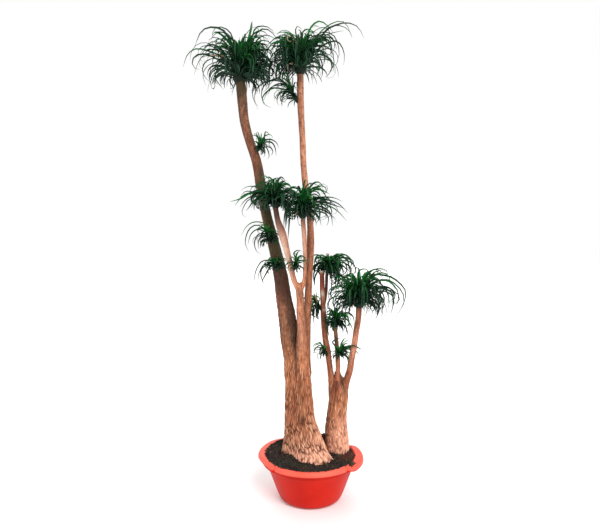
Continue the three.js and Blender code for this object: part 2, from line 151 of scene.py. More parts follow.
def makeStudio(plan):
    world = bpy.data.worlds.new("studio")
    world.use_nodes = True
    tree = world.node_tree
    tree.nodes.clear()
    seen = addNode(tree, "LightPath", output="Is Camera Ray")
    strength = addNode(tree, "MapRange", {
        "Value": seen, "To Min": plan["surroundings"], "To Max": plan["backdrop"]})
    sky = addNode(tree, "Background", {"Color": (1, 1, 1, 1), "Strength": strength})
    addNode(tree, "OutputWorld", {"Surface": sky})
    bpy.context.scene.world = world
    bpy.context.scene.view_settings.view_transform = "Standard"
    for sun in plan["suns"]:
        lamp = addObject(sun["name"], bpy.data.lights.new(sun["name"], "SUN"))
        lamp.data.energy = sun["strength"]
        lamp.data.angle = math.radians(sun["softness"])
        lamp.rotation_euler = (math.radians(sun["tilt"]), 0, math.radians(sun["heading"]))
    half = plan["floorHalf"]
    mesh = bpy.data.meshes.new("floor")
    corners = [(-half, -half, 0), (half, -half, 0), (half, half, 0), (-half, half, 0)]
    mesh.from_pydata(corners, [], [(0, 1, 2, 3)])
    material, tree = newMaterial("studioPaper")
    closeMaterial(tree, {"Base Color": linear(plan["floor"]), "Roughness": plan["floorRoughness"]})
    mesh.materials.append(material)
    addObject("floor", mesh)


makeStudio(studio)
print("camera and studio ready")


# Reads a property of a mesh's vertices or edges as rows of numbers
def readRows(items, name, width, kind=np.float32):
    numbers = np.zeros(len(items) * width, kind)
    items.foreach_get(name, numbers)
    return numbers.reshape(-1, width)


# Smooths or facets a mesh, and adds attributes of one value a vertex
def finishMesh(mesh, values, smooth=True):
    mesh.polygons.foreach_set("use_smooth", [smooth] * len(mesh.polygons))
    for key, numbers in values.items():
        added = mesh.attributes.new(key, "FLOAT", "POINT")
        added.data.foreach_set("value", np.ravel(numbers).astype(np.float32))
    mesh.update()


# Puts a shape's vertices, faces and values into a new object with its material
def newPiece(name, shape, material, smooth=True):
    mesh = bpy.data.meshes.new(name)
    mesh.from_pydata(shape["vertices"], [], shape["faces"])
    mesh.materials.append(material)
    finishMesh(mesh, shape["values"], smooth)
    return addObject(name, mesh)


def dress(piece, slot, *nodes):
    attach(piece, "root")
    if nodes:
        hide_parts(*nodes)


# Puts a piece's modifiers into its mesh
def applyModifiers(piece):
    graph = bpy.context.evaluated_depsgraph_get()
    finished = bpy.data.meshes.new_from_object(piece.evaluated_get(graph), depsgraph=graph)
    piece.modifiers.clear()
    old = piece.data
    piece.data = finished
    bpy.data.meshes.remove(old)


# Joins other pieces to a piece, or cuts them out of it, and removes them
def combine(piece, operation, others):
    for other in others:
        step = piece.modifiers.new("step", "BOOLEAN")
        step.operation, step.solver, step.object = operation, "MANIFOLD", other
    applyModifiers(piece)
    for other in others:
        bpy.data.objects.remove(other)


# Angles evenly round a circle, starting at the right
def roundAngles(count):
    return np.arange(count) * 2 * np.pi / count


# How many degrees each angle lies past a middle one, from -180 to 180
def degreesPast(angle, middle):
    return (np.degrees(angle) - middle + 540) % 360 - 180


# A rounded hump, 1 in its middle, which falls off with the square of the distance in widths
def hump(away, width):
    return np.exp(-(away / width) ** 2)


def smoothStep(low, high, value):
    share = np.clip((value - low) / (high - low), 0, 1)
    return share * share * (3 - 2 * share)


def mix(low, high, share):
    return low + (high - low) * share


def unit(vectors):
    return vectors / np.linalg.norm(vectors, axis=-1, keepdims=True)


# Directions square to the given ways, as near as they can be to axis 0, 1 or 2
def squareTo(way, axis):
    return unit(np.eye(3)[axis] - way * way[..., axis:axis + 1])


# Points round each centre, at their reach along the two directions of its ring
def ringPoints(centre, reach, angle, across, behind):
    ways = np.cos(angle)[:, None] * across[..., None, :] + np.sin(angle)[:, None] * behind[..., None, :]
    return centre[:, None] + reach[..., None] * ways


# Quads of a grid of rows that close round on themselves, as indices into its rows laid end to end.
# Rows run up and points run counter-clockwise seen from above, so that the faces look outwards.
def tubeFaces(rows, around, start=0):
    row, column = np.meshgrid(np.arange(rows - 1), np.arange(around), indexing="ij")
    nextColumn = (column + 1) % around
    corners = [row * around + column, row * around + nextColumn,
               (row + 1) * around + nextColumn, (row + 1) * around + column]
    return (np.stack(corners, -1).reshape(-1, 4) + start).tolist()


# Closes a stack of rings with a point at each end, and triangles from the end ring to it
def closedTube(ring, ends, values):
    rows, around = ring.shape[:2]
    first, last = np.arange(around), (rows - 1) * around + np.arange(around)
    pole = np.full(around, rows * around)
    faces = tubeFaces(rows, around)
    faces += np.stack([np.roll(first, -1), first, pole], -1).tolist()
    faces += np.stack([last, np.roll(last, -1), pole + 1], -1).tolist()
    values = {key: np.append(numbers, [numbers[0, 0], numbers[-1, 0]]) for key, numbers in values.items()}
    return {"vertices": np.vstack([ring.reshape(-1, 3), ends]), "faces": faces, "values": values}


# A number from 0 to 1 for each cell of a grid, from the fraction of a large sine
def cellNumber(column, row, seed):
    value = np.sin(column * 127.1 + row * 311.7 + seed * 74.7) * 43758.5453
    return value - np.floor(value)


# Soft noise from 0 to 1: cell numbers blended by smooth steps, repeating after a whole period in u
def softNoise(u, v, period, seed):
    column, row = np.floor(u), np.floor(v)
    across, along = smoothStep(0, 1, u - column), smoothStep(0, 1, v - row)
    corner = [cellNumber((column + i) % period, row + j, seed) for j in (0, 1) for i in (0, 1)]
    return mix(mix(corner[0], corner[1], across), mix(corner[2], corner[3], across), along)


# Cracked cells: distance to the second nearest cell middle less that to the nearest, which is 0 along
# the cracks, and the nearest cell's own number. Each column of cells is shifted by its own share of a
# cell, so that no crack runs level right round.
def crackedCells(u, v, period, seed, jitter):
    nearest, second, own = np.full(u.shape, 9.0), np.full(u.shape, 9.0), np.zeros(u.shape)
    for i in (-1, 0, 1):
        column = np.floor(u) + i
        wrapped = column % period
        shift = cellNumber(wrapped, 7, seed + 3)
        for j in (-1, 0, 1):
            row = np.floor(v - shift) + j
            middleU = column + 0.5 + jitter * (cellNumber(wrapped, row, seed) - 0.5)
            middleV = row + 0.5 + shift + jitter * (cellNumber(wrapped, row, seed + 1) - 0.5)
            away = np.hypot(u - middleU, v - middleV)
            closer = away < nearest
            second = np.where(closer, nearest, np.minimum(second, away))
            own = np.where(closer, cellNumber(wrapped, row, seed + 2), own)
            nearest = np.where(closer, away, nearest)
    return second - nearest, own


# Bowl: moulded polypropylene. Sizes in metres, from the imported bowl's height and the mould's usual shape
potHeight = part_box("pot")[1].z
bowl = {
    "sides": 288,
    "earReach": 0.028,
    # middle, half-angle, width of an end's taper (degrees) and drop of the lip
    "ears": [(-8, 33, 3.5, 0.004), (159, 28, 12, -0.001)],
    "notches": {"at": (-43.5, 28, 222, 121), "width": 1.7, "depth": 0.017},
    "sag": {"from": (176, 212), "to": (220, 222.5), "drop": 0.010},
    "warp": {"from": 0.15, "size": 0.0012},
    "backRise": 0.020,
    "holes": {"count": 6, "radius": 0.006, "ring": 0.115, "half": 0.02, "sides": 20},
    # depths below the rim over which the lip turns lighter: partly sun fading, partly painted light from
    # above
    "fadedAndLitFrom": (0.036, 0.024),
    # radius, height, corner radius, share of the ear's reach
    "profile": [
        (0.000, 0.000, 0, 0), (0.120, 0.000, 0, 0), (0.160, 0.000, 0, 0), (0.168, 0.000, 0.006, 0),
        (0.198, 0.012, 0.022, 0), (0.219, 0.052, 0.030, 0), (0.2832, 0.2215, 0.003, 0),
        (0.2875, 0.2265, 0.003, 0),
        (0.2965, potHeight - 0.014, 0.006, 0), (0.302, potHeight - 0.0075, 0.003, 0),
        (0.3145, potHeight - 0.0075, 0.003, 1), (0.3185, potHeight - 0.031, 0.001, 1),
        (0.3225, potHeight - 0.032, 0.0012, 1), (0.3215, potHeight - 0.014, 0.008, 1),
        (0.3150, potHeight - 0.0025, 0.008, 1), (0.2985, potHeight, 0.005, 0),
        (0.291, potHeight - 0.012, 0.006, 0), (0.2825, 0.2275, 0.004, 0), (0.2135, 0.055, 0.028, 0),
        (0.192, 0.017, 0.020, 0), (0.165, 0.006, 0.006, 0), (0.120, 0.006, 0, 0), (0.000, 0.006, 0, 0),
    ],
}


# A profile with its corners rounded: each corner becomes a quadratic curve between two points one corner
# radius before and after it
def roundedProfile(corners, steps=5):
    corners = np.array(corners, float)
    places, rounding = corners[:, [0, 1, 3]], corners[:, 2]
    points = [places[0]]
    for before, here, after, radius in zip(places, places[1:], places[2:], rounding[1:]):
        if radius == 0:
            points.append(here)
            continue
        start, end = [here + (other - here) * min(0.48, radius / np.linalg.norm((other - here)[:2]))
                      for other in (before, after)]
        for t in np.linspace(0, 1, steps):
            points.append((1 - t) ** 2 * start + 2 * t * (1 - t) * here + t * t * end)
    return np.array(points + [places[-1]])


# How much of the back's rise the rim has at each angle: none in front, all of it at the back
def backShare(angle):
    return ((1 + np.sin(angle)) / 2) ** 2.5


# Bowl wall: the profile turned about Z. The lip's share of each point is drawn out and a little down over
# each handle's angle, with a notch beyond each end of a handle, and sags between the left handle and its
# front notch. The whole rim is warped a little by the weight of the soil and stands higher at the back.
def makePot(plan, material):
    outline = roundedProfile(plan["profile"])
    angle = roundAngles(plan["sides"])
    drawn, lowered, cut = 0 * angle, 0 * angle, 0 * angle
    for middle, half, end, drop in plan["ears"]:
        ear = 1 - smoothStep(half - end, half + end, np.abs(degreesPast(angle, middle)))
        drawn, lowered = drawn + plan["earReach"] * ear, lowered + drop * ear
    sag, turn = plan["sag"], np.degrees(angle)
    lowered = lowered + sag["drop"] * smoothStep(*sag["from"], turn) * (1 - smoothStep(*sag["to"], turn))
    notches, warp = plan["notches"], plan["warp"]
    for middle in notches["at"]:
        cut = cut + notches["depth"] * hump(degreesPast(angle, middle), notches["width"])
    radius = outline[:, :1] + outline[:, 2:] * (drawn - cut)
    high = smoothStep(warp["from"], potHeight, outline[:, 1:2])
    radius = radius + warp["size"] * high * np.sin(3 * angle + 0.8)
    height = outline[:, 1:2] + warp["size"] * high * np.sin(2 * angle + 2.1)
    height = height + plan["backRise"] * high * backShare(angle) - outline[:, 2:] * (lowered + 0.9 * cut)
    rings = np.stack([radius * np.cos(angle), radius * np.sin(angle), height], -1)
    pot = newPiece("bowl", closedTube(rings[1:-1], rings[[0, -1], 0], {}), material)
    combine(pot, "DIFFERENCE", [newPiece("drill", drillShape(plan["holes"]), material)])
    dress(pot, "pot_plastic", "pot")
    return pot


# Drills: a short upright prism for each drain hole
def drillShape(holes):
    angle, sides = roundAngles(holes["sides"]), holes["sides"]
    vertices, faces = [], []
    for number, turn in enumerate(roundAngles(holes["count"]).tolist()):
        for height in (-holes["half"], holes["half"]):
            vertices.append(np.stack([holes["ring"] * math.cos(turn) + holes["radius"] * np.cos(angle),
                                      holes["ring"] * math.sin(turn) + holes["radius"] * np.sin(angle),
                                      np.full(sides, height)], -1))
        start = number * 2 * sides
        faces += tubeFaces(2, sides, start)
        bottom = list(range(start, start + sides))
        faces += [bottom[::-1], [index + sides for index in bottom]]
    return {"vertices": np.vstack(vertices), "faces": faces, "values": {}}


# Moulded polypropylene, saturated red: satin, with fine dust and handling scuffs, and a lighter lip that is
# partly chalky sun fading and partly painted light from above
def mouldedPlastic():
    material, tree = newMaterial("mouldedPolypropylene")
    place = addNode(tree, "TexCoord", output="Object")
    height = addNode(tree, "SeparateXYZ", {0: place}, 2)
    # the lip's lighter colour is partly sun fading and partly painted light falling from above
    lighterStart, lighterEnd = (potHeight - below for below in bowl["fadedAndLitFrom"])
    fadedAndLit = addNode(tree, "MapRange", {"Value": height, "From Min": lighterStart, "From Max": lighterEnd},
                    interpolation_type="SMOOTHSTEP")
    patches = addNode(tree, "TexNoise", {"Vector": place, "Scale": 4.0, "Detail": 2.0})
    stretched = addNode(tree, "Mapping", {"Vector": place, "Scale": (1, 1, 6)})
    scuffs = addNode(tree, "TexNoise", {"Vector": stretched, "Scale": 60.0, "Detail": 6.0, "Roughness": 0.7})
    lip = layColours(tree, "de4634", [(patches, 0, 1, 0, 1, "ec6f5d")])
    colour = layColours(tree, "b01304", [
        (patches, 0.35, 0.65, 0, 1, "c31b07"),
        (fadedAndLit, 0, 1, 0, 1, lip),
        (scuffs, 0.58, 0.75, 0, 0.3, "e0604c"),
    ])
    gloss = addNode(tree, "MapRange", {
        "Value": scuffs, "From Min": 0.3, "From Max": 0.7, "To Min": 0.38, "To Max": 0.56})
    grain = addNode(tree, "TexNoise", {"Vector": place, "Scale": 900.0, "Detail": 2.0})
    bump = addNode(tree, "Bump", {"Height": grain, "Strength": 0.15, "Distance": 0.0005})
    closeMaterial(tree, {"Base Color": colour, "Roughness": gloss, "Normal": bump, "IOR": 1.32,
                         "Specular IOR Level": 0.3})
    return material


pot = makePot(bowl, mouldedPlastic())
print("bowl made,", len(pot.data.polygons), "faces")


# The shade stains are painted shade in part: shadows the stems cast on each other, creases between them,
# sides away from the light and the tops under the crowns; the rest is the bark's own darker tone.
# Trunks. Each stem is rows of x, y, z and radius up its middle line, in millimetres.
# lobes swell the foot out round an angle, and grooves run up it from grooveStart on: middle and width
# (degrees, 0 is right and -90 is front) and size (mm). toes are small swellings that fade above the soil.
# Through shoulder's heights the foot ends between the stems that it carries, through young's the bark
# changes from an old one's to a young one's, and knobs end by knobFade above the soil (mm).
# stains are rows of height and reach up and down (mm), the side they face and width (degrees), and strength.
# cell is the height of the bark's plates, on the foot at a few heights (mm).
soilLine = 275
flareFade = 120
# heights where the foot's rings change their step, and the steps (mm)
footSteps = [(195, 15), (255, 3.9), (590, 5.5)]
largeTrunk = {
    "node": "trunk_large", "seed": 3,
    "lobes": [(-42, 27, 76), (176, 30, 36), (-95, 26, 24), (20, 24, -14), (100, 34, 8)],
    "toes": {"count": 17, "size": 7, "fade": 45}, "grooves": [(-100, 6, 12), (-14, 8, 8), (120, 9, 8)],
    "grooveStart": (760, 945), "shoulder": (905, 985), "young": (460, 2000), "knobFade": 70,
    "foot": {
        "around": 300, "columns": 56, "seed": 5, "cell": [(200, 46), (330, 54), (480, 60), (1000, 66)],
        "carries": ["left", "front", "back"],
        "stains": {
            "pale": [(300, 110, -60, 110, 0.6), (420, 120, -20, 40, 0.4), (285, 60, -50, 150, 0.75)],
            "red": [(560, 150, -110, 40, 0.55), (760, 140, -60, 60, 0.4)],
            "shade": [(560, 330, 178, 24, 0.5), (925, 80, -97, 12, 0.8), (800, 200, 5, 22, 0.45)],
            "moss": [(640, 200, -85, 22, 0.35)],
        },
        "rows": [
            (-22, 16, 195, 108), (-22, 14, 235, 134), (-22, 12, 275, 140), (-28, 12, 305, 133),
            (-35, 12, 342, 127), (-40, 12, 388, 121), (-48, 10, 422, 114), (-55, 8, 455, 108),
            (-68, 5, 522, 97), (-72, 2, 588, 92), (-77, 0, 688, 87), (-82, 0, 788, 85), (-85, -2, 854, 84),
            (-88, -2, 905, 78), (-90, 0, 950, 60), (-92, 2, 992, 18),
        ],
    },
    "stems": [
        {
            "name": "left", "around": 84, "step": 6.5, "columns": 26, "cell": 34, "seed": 21,
            "stains": {
                "shade": [
                    (1790, 300, -25, 105, 1.1), (1540, 120, -90, 200, 0.95), (1340, 190, -15, 65, 1.0),
                    (2110, 80, -20, 70, 0.6), (1050, 180, -45, 40, 0.8), (1100, 240, 185, 30, 0.35),
                    (2780, 50, -90, 300, 0.8), (2500, 330, 195, 26, 0.4), (2660, 240, -90, 300, 0.6),
                    (2280, 300, -90, 300, 0.5), (1430, 120, -90, 300, 0.35), (1160, 220, -90, 300, 0.55),
                    (1650, 90, -90, 250, 0.55), (2700, 120, -90, 300, 0.2), (1985, 105, -70, 220, 0.5),
                ],
                # the moss row at 2730 is painted shade under the crown, as dark olive
                "moss": [
                    (1850, 260, -60, 80, 0.95), (2730, 70, -120, 150, 0.7), (1660, 90, -60, 140, 0.85),
                    (2425, 50, 5, 50, 1.0), (1965, 130, -60, 200, 0.8),
                ],
                "red": [(1400, 150, -110, 150, 0.75), (2150, 150, 210, 100, 0.8), (2400, 150, -60, 70, 0.4)],
            },
            "rows": [
                (-112, 5, 780, 48), (-112, 5, 860, 58), (-122, 8, 966, 59), (-137, 14, 1047, 58),
                (-151, 20, 1179, 59), (-174, 30, 1312, 53), (-194, 40, 1445, 48), (-219, 50, 1578, 42.5),
                (-253, 55, 1712, 38.5), (-286, 60, 1845, 34), (-315, 60, 1979, 34.5), (-337, 60, 2112, 34),
                (-362, 55, 2244, 32), (-406, 50, 2376, 30), (-439, 45, 2507, 31), (-451, 40, 2637, 32.5),
                (-466, 40, 2800, 31),
            ],
        },
        {
            "name": "front", "around": 56, "step": 5.5, "columns": 18, "cell": 32, "seed": 31,
            "stains": {
                "pale": [(1180, 150, -100, 60, 0.35)], "red": [(1080, 180, -30, 50, 0.45)],
                "shade": [
                    (1180, 170, 5, 30, 0.6), (1370, 45, -70, 60, 0.35), (1000, 120, 195, 40, 0.8),
                    (1250, 300, -90, 300, 0.24),
                ],
            },
            "rows": [
                (-56, -30, 790, 40), (-56, -40, 870, 45), (-58, -50, 966, 43), (-57, -64, 1060, 35),
                (-57, -70, 1126, 30.5), (-62, -75, 1192, 28), (-67, -80, 1257, 25.5), (-68, -85, 1322, 24),
                (-72, -90, 1400, 25), (-73, -91, 1435, 17),
            ],
        },
        {
            "name": "frontLeft", "around": 32, "step": 5.5, "columns": 10, "cell": 30, "seed": 41,
            "stains": {
                "shade": [(1885, 100, -90, 300, 1.0), (1500, 100, -10, 40, 0.4)],
                "red": [(1850, 100, -90, 300, 1.0), (1600, 230, -30, 50, 0.5)],
                # its pale and wood stains on the left side are partly a painted highlight where light falls,
                # and partly its own paler bark
                "pale": [(1620, 190, 195, 50, 0.9)], "wood": [(1630, 150, 205, 105, 0.5)],
            },
            "rows": [
                (-78, -90, 1385, 17), (-107, -100, 1452, 18), (-124, -105, 1517, 18.5),
                (-139, -110, 1581, 18.5), (-155, -118, 1645, 20), (-171, -125, 1709, 24),
                (-189, -130, 1772, 24), (-211, -135, 1835, 18.5), (-226, -140, 1925, 17),
            ],
        },
        {
            "name": "frontRight", "around": 28, "step": 5.5, "columns": 9, "cell": 30, "seed": 51,
            "stains": {
                "pale": [(1650, 200, 200, 60, 0.6)], "wood": [(1680, 150, 200, 80, 0.35)],
                "red": [(1500, 250, -20, 60, 0.4)], "shade": [(1860, 60, -90, 300, 0.7)],
            },
            "rows": [
                (-66, -92, 1385, 17), (-42, -90, 1452, 13), (-36, -85, 1581, 12.5), (-41, -80, 1709, 14.5),
                (-50, -75, 1838, 15), (-53, -75, 1895, 15),
            ],
        },
        {
            "name": "back", "around": 40, "step": 6.5, "columns": 13, "cell": 30, "seed": 61,
            "stains": {
                "shade": [
                    (1560, 330, 195, 75, 0.9), (1100, 150, -150, 70, 0.6), (2010, 80, 190, 60, 0.7),
                    (2810, 60, -90, 300, 0.6), (2540, 180, -90, 300, 0.35), (1000, 170, -90, 300, 0.4),
                    (2150, 200, -90, 300, 0.15),
                ],
                "pale": [(2080, 90, -40, 60, 0.5), (2350, 500, -60, 50, 0.3)],
                "red": [(2550, 300, -150, 60, 0.35), (1500, 300, -40, 60, 0.35)],
                "moss": [(1900, 60, -90, 200, 0.7)],
            },
            "rows": [
                (-30, 20, 790, 28), (-28, 25, 870, 30), (-26, 34, 966, 28), (-24, 40, 1044, 26),
                (-20, 50, 1175, 24.5), (-16, 70, 1308, 25), (-9, 85, 1442, 22.5), (0, 95, 1577, 22),
                (2, 100, 1712, 24.5), (-1, 105, 1848, 21.5), (-17, 105, 1983, 22), (-36, 105, 2118, 21),
                (-47, 100, 2251, 20.5), (-52, 95, 2385, 20.5), (-60, 90, 2517, 21), (-66, 90, 2651, 22.5),
                (-68, 90, 2880, 21),
            ],
        },
    ],
}

smallTrunk = {
    "node": "trunk_small", "seed": 7, "lobes": [(-65, 30, 10), (-5, 26, 5), (150, 34, -8)],
    "toes": {"count": 11, "size": 5, "fade": 40}, "grooves": [(-125, 8, 9), (-48, 10, 8), (80, 10, 5)],
    "grooveStart": (500, 680), "shoulder": (700, 812), "young": (460, 1300), "knobFade": 60,
    "foot": {
        "around": 200, "columns": 34, "seed": 9, "cell": [(200, 42), (330, 48), (480, 52), (900, 54)],
        "carries": ["sawn", "middle", "right"],
        "stains": {
            "pale": [(400, 140, -70, 90, 0.6), (300, 90, -80, 120, 0.6)],
            "shade": [(420, 260, 180, 42, 0.75), (740, 70, -40, 30, 0.5), (790, 90, -90, 300, 0.65)],
            "red": [(720, 90, -120, 40, 0.9), (770, 60, -105, 12, 0.9)],
        },
        "rows": [
            (180, 88, 190, 52), (182, 88, 215, 66), (184, 88, 245, 75), (184, 88, 275, 77),
            (182, 88, 310, 79), (180, 90, 346, 78), (176, 92, 415, 75), (177, 94, 484, 69),
            (183, 94, 553, 64.5), (191, 92, 621, 64), (194, 91, 665, 61), (194, 90, 712, 52),
            (190, 88, 758, 42), (184, 87, 790, 29), (178, 88, 822, 10),
        ],
    },
    "stems": [
        {
            "name": "sawn", "around": 36, "step": 5, "columns": 12, "cell": 26, "seed": 71,
            "stains": {
                "wood": [(1347, 20, -100, 55, 0.75), (1236, 12, -60, 45, 0.6), (1503, 13, -90, 400, 1.0)],
                "red": [(1200, 200, -90, 300, 0.7), (1440, 70, -90, 300, 0.9), (850, 120, -110, 90, 0.3)],
                "shade": [(1450, 70, 0, 70, 0.5), (1100, 240, 0, 60, 0.6), (840, 120, -10, 50, 0.6)],
            },
            "rows": [
                (158, 94, 600, 24), (152, 96, 690, 28), (145, 100, 759, 23), (137, 105, 826, 19.5),
                (127, 110, 894, 19.5), (119, 115, 961, 21), (106, 120, 1029, 20.5), (99, 125, 1097, 20),
                (94, 130, 1165, 20.5), (90, 132, 1234, 18.5), (88, 135, 1302, 17), (84, 138, 1370, 17),
                (80, 140, 1502, 16),
            ],
        },
        {
            "name": "besideCut", "around": 22, "step": 5, "columns": 7, "cell": 26, "seed": 81,
            "stains": {
                "shade": [(1390, 190, -90, 300, 1.0)], "red": [(1400, 140, -90, 300, 0.5)],
                "wood": [(1612, 22, -90, 400, 1.0)],
            },
            "rows": [
                (92, 134, 1250, 9), (104, 136, 1310, 10.5), (112, 139, 1400, 10.5), (117, 140, 1560, 11),
                (121, 141, 1622, 9),
            ],
        },
        {
            "name": "middle", "around": 30, "step": 5, "columns": 9, "cell": 26, "seed": 91,
            "stains": {
                "red": [(800, 120, -90, 120, 0.6)],
                "shade": [(1050, 120, -90, 300, 0.75), (800, 90, 10, 50, 0.6)],
                "pale": [(860, 60, -110, 60, 0.4)],
            },
            "rows": [
                (192, 86, 600, 22), (190, 84, 690, 30), (188, 82, 760, 21), (188, 78, 832, 16),
                (186, 70, 902, 16.5), (182, 65, 971, 15), (176, 60, 1039, 13.5), (169, 60, 1107, 13),
                (170, 60, 1165, 13),
            ],
        },
        {
            "name": "right", "around": 38, "step": 5, "columns": 12, "cell": 26, "seed": 101,
            "stains": {
                "red": [(800, 90, -60, 80, 0.7), (1200, 140, -60, 90, 0.5)],
                "shade": [(790, 60, 190, 50, 0.8), (1290, 40, -90, 300, 0.8)],
                "pale": [(1000, 120, -120, 60, 0.4)], "moss": [(1150, 60, -130, 60, 0.5)],
            },
            "rows": [
                (216, 92, 600, 24), (228, 88, 690, 31), (238, 78, 735, 26), (246, 70, 766, 23.5),
                (266, 55, 837, 22), (275, 45, 907, 20.5), (288, 35, 976, 20.5), (298, 30, 1044, 20),
                (307, 25, 1112, 20), (317, 20, 1179, 19), (321, 15, 1247, 20), (323, 15, 1315, 19),
            ],
        },
    ],
}

# Where a trunk's tubes meet: fresh vertices lie farther than this from every tube's own, and the bark is
# softened near them and darkened with painted shade where it was lifted (metres)
seam = {"fresh": 2e-6, "reach": (0.004, 0.020), "strength": 0.6, "rounds": 10, "lifted": (0.0004, 0.0035)}

# Heights and depths of the bark's parts (mm). Where there are two, the first is on old bark and the second
# on young. ring is the way up from one leaf scar to the next.
barkSizes = {"plate": 3.6, "fissure": 4.6, "groove": (1.2, 0.7), "scar": 0.7, "grit": 0.8, "ring": (13, 9)}


# A smooth curve through rows of numbers: on each stretch, the Catmull-Rom cubic of its four nearest rows
def smoothRows(rows, at):
    rows = np.array(rows, float)
    padded = np.vstack([2 * rows[0] - rows[1], rows, 2 * rows[-1] - rows[-2]])
    stretch = np.clip(at.astype(int), 0, len(rows) - 2)
    t = (at - stretch)[:, None]
    a, b, c, d = (padded[stretch + k] for k in range(4))
    square, cube = 2 * a - 5 * b + 4 * c - d, 3 * b - a - 3 * c + d
    return 0.5 * (2 * b + (c - a) * t + square * t ** 2 + cube * t ** 3)


# Rows an even step apart along the smooth curve through the given ones, and the way travelled at each
def evenRows(rows, step):
    fine = smoothRows(rows, np.linspace(0, len(rows) - 1, 24 * len(rows)))
    travelled = np.append(0, np.cumsum(np.linalg.norm(np.diff(fine[:, :3], axis=0), axis=1)))
    even = np.linspace(0, travelled[-1], round(travelled[-1] / step) + 1)
    return np.stack([np.interp(even, travelled, column) for column in fine.T], -1), even


# Bark relief in millimetres. Tall plates stand round the stem in wandering columns. The fissures between
# them open and close again, and finer grooves, broken rings of leaf scars and grit lie over all. young is 0
# on the old foot and 1 on a young stem's end, and knobbly is 1 at the soil, where the plates are low knobs
# with soft edges. plate counts plates up the stem, and along is in millimetres.
def barkRelief(angle, along, plate, radius, columns, young, knobbly, seed):
    turn = angle / (2 * np.pi)
    wander = 0.5 * (softNoise(turn * 5, along / 80, 5, seed) - 0.5)
    wander = wander + 0.4 * (softNoise(turn * 13, along / 26, 13, seed + 1) - 0.5)
    kinks = softNoise(turn * columns * 2, along / 12, columns * 2, seed + 11) - 0.5
    wander = wander + 0.22 * knobbly * kinks
    gap, tone = crackedCells(turn * columns + wander * columns / 20, plate + wander, columns, seed + 2, 0.95)
    opened = smoothStep(0.2, 0.65, softNoise(turn * 9, along / 60, 9, seed + 3))
    fissure = (1 - smoothStep(0.03, 0.36, gap)) * mix(0.3, 1, np.maximum(opened, 0.65 * knobbly))
    crown = smoothStep(0.05, 0.85, gap)
    grooves = softNoise(turn * columns * 2 + 3 * wander, along / 38, columns * 2, seed + 7)
    ring = along / mix(*barkSizes["ring"], young) + 2.2 * softNoise(turn * 6, along / 30, 6, seed + 5)
    scar = 1 - smoothStep(0.05, 0.22, np.abs(ring - np.floor(ring) - 0.5))
    scar = scar * smoothStep(0.35, 0.6, softNoise(turn * columns, ring, columns, seed + 6))
    grit = softNoise(turn * columns * 3, along / 6, columns * 3, seed + 9) - 0.5
    deep = mix(1.0, 0.3, young) * np.minimum(1.35, radius / 85) * (1 - 0.25 * knobbly)
    relief = deep * (barkSizes["plate"] * crown - barkSizes["fissure"] * fissure)
    relief = relief + mix(*barkSizes["groove"], young) * (grooves - 0.5)
    relief = relief - barkSizes["scar"] * young * scar + barkSizes["grit"] * grit
    # dark: the fissures' own darker inner bark, with painted shade in them and in the groove hollows; light:
    # the plates' paler crowns, with a painted highlight on them and on the ridges
    dark = fissure * mix(0.85, 0.35, np.sqrt(young)) * np.minimum(1.2, radius / 90) * (1 - 0.1 * knobbly)
    dark = dark + 0.55 * young * scar
    dark = np.clip(dark + 0.4 * smoothStep(0.62, 0.9, 1 - grooves), 0, 1)
    light = crown * mix(0.75, 0.3, np.sqrt(young)) * np.minimum(1.25, radius / 90) * mix(0.55, 1.25, tone)
    light = np.clip(light + 0.5 * (grooves - 0.5), 0, 1)
    return relief, {"crack": dark, "crown": light, "tone": mix(tone, grooves, mix(0.3, 0.7, young))}


# How strongly each kind of stain shows: a bell over its height times a bell round its side, both frayed
# by noise, and the stains of a kind added up
def stainsOf(stains, height, angle, seed):
    frayed = softNoise(angle * 7 / (2 * np.pi), height / 45, 7, seed + 30)
    frayed = 0.7 * frayed + 0.5 * softNoise(angle * 15 / (2 * np.pi), height / 16, 15, seed + 31)
    kinds = {}
    for kind in ("shade", "red", "pale", "moss", "wood"):
        total = 0 * height * angle
        for middle, reach, side, width, strength in stains.get(kind, []):
            bell = np.exp(-((height - middle) / reach) ** 2 - (degreesPast(angle, side) / width) ** 2)
            total = total + strength * bell * mix(0.7, 1.25, frayed)
        kinds[kind] = np.clip(total, 0, 1)
    return kinds


# Distance from a middle out to the far side of a round stem, along each angle, and 0 where it is missed
def farSide(stem, levels, middle, angle):
    rows = np.array(stem["rows"])
    x, y, radius = (np.interp(levels, rows[:, 2], rows[:, k])[:, None] for k in (0, 1, 3))
    offset = np.hypot(x - middle[:, :1], y - middle[:, 1:2])
    bearing = np.arctan2(y - middle[:, 1:2], x - middle[:, :1])
    inside = radius ** 2 - (offset * np.sin(angle - bearing)) ** 2
    reach = offset * np.cos(angle - bearing) + np.sqrt(np.maximum(inside, 0))
    started = smoothStep(rows[0][2] - 60, rows[0][2] + 40, levels)[:, None]
    return np.where(inside > 0, np.maximum(reach, 0), 0) * started


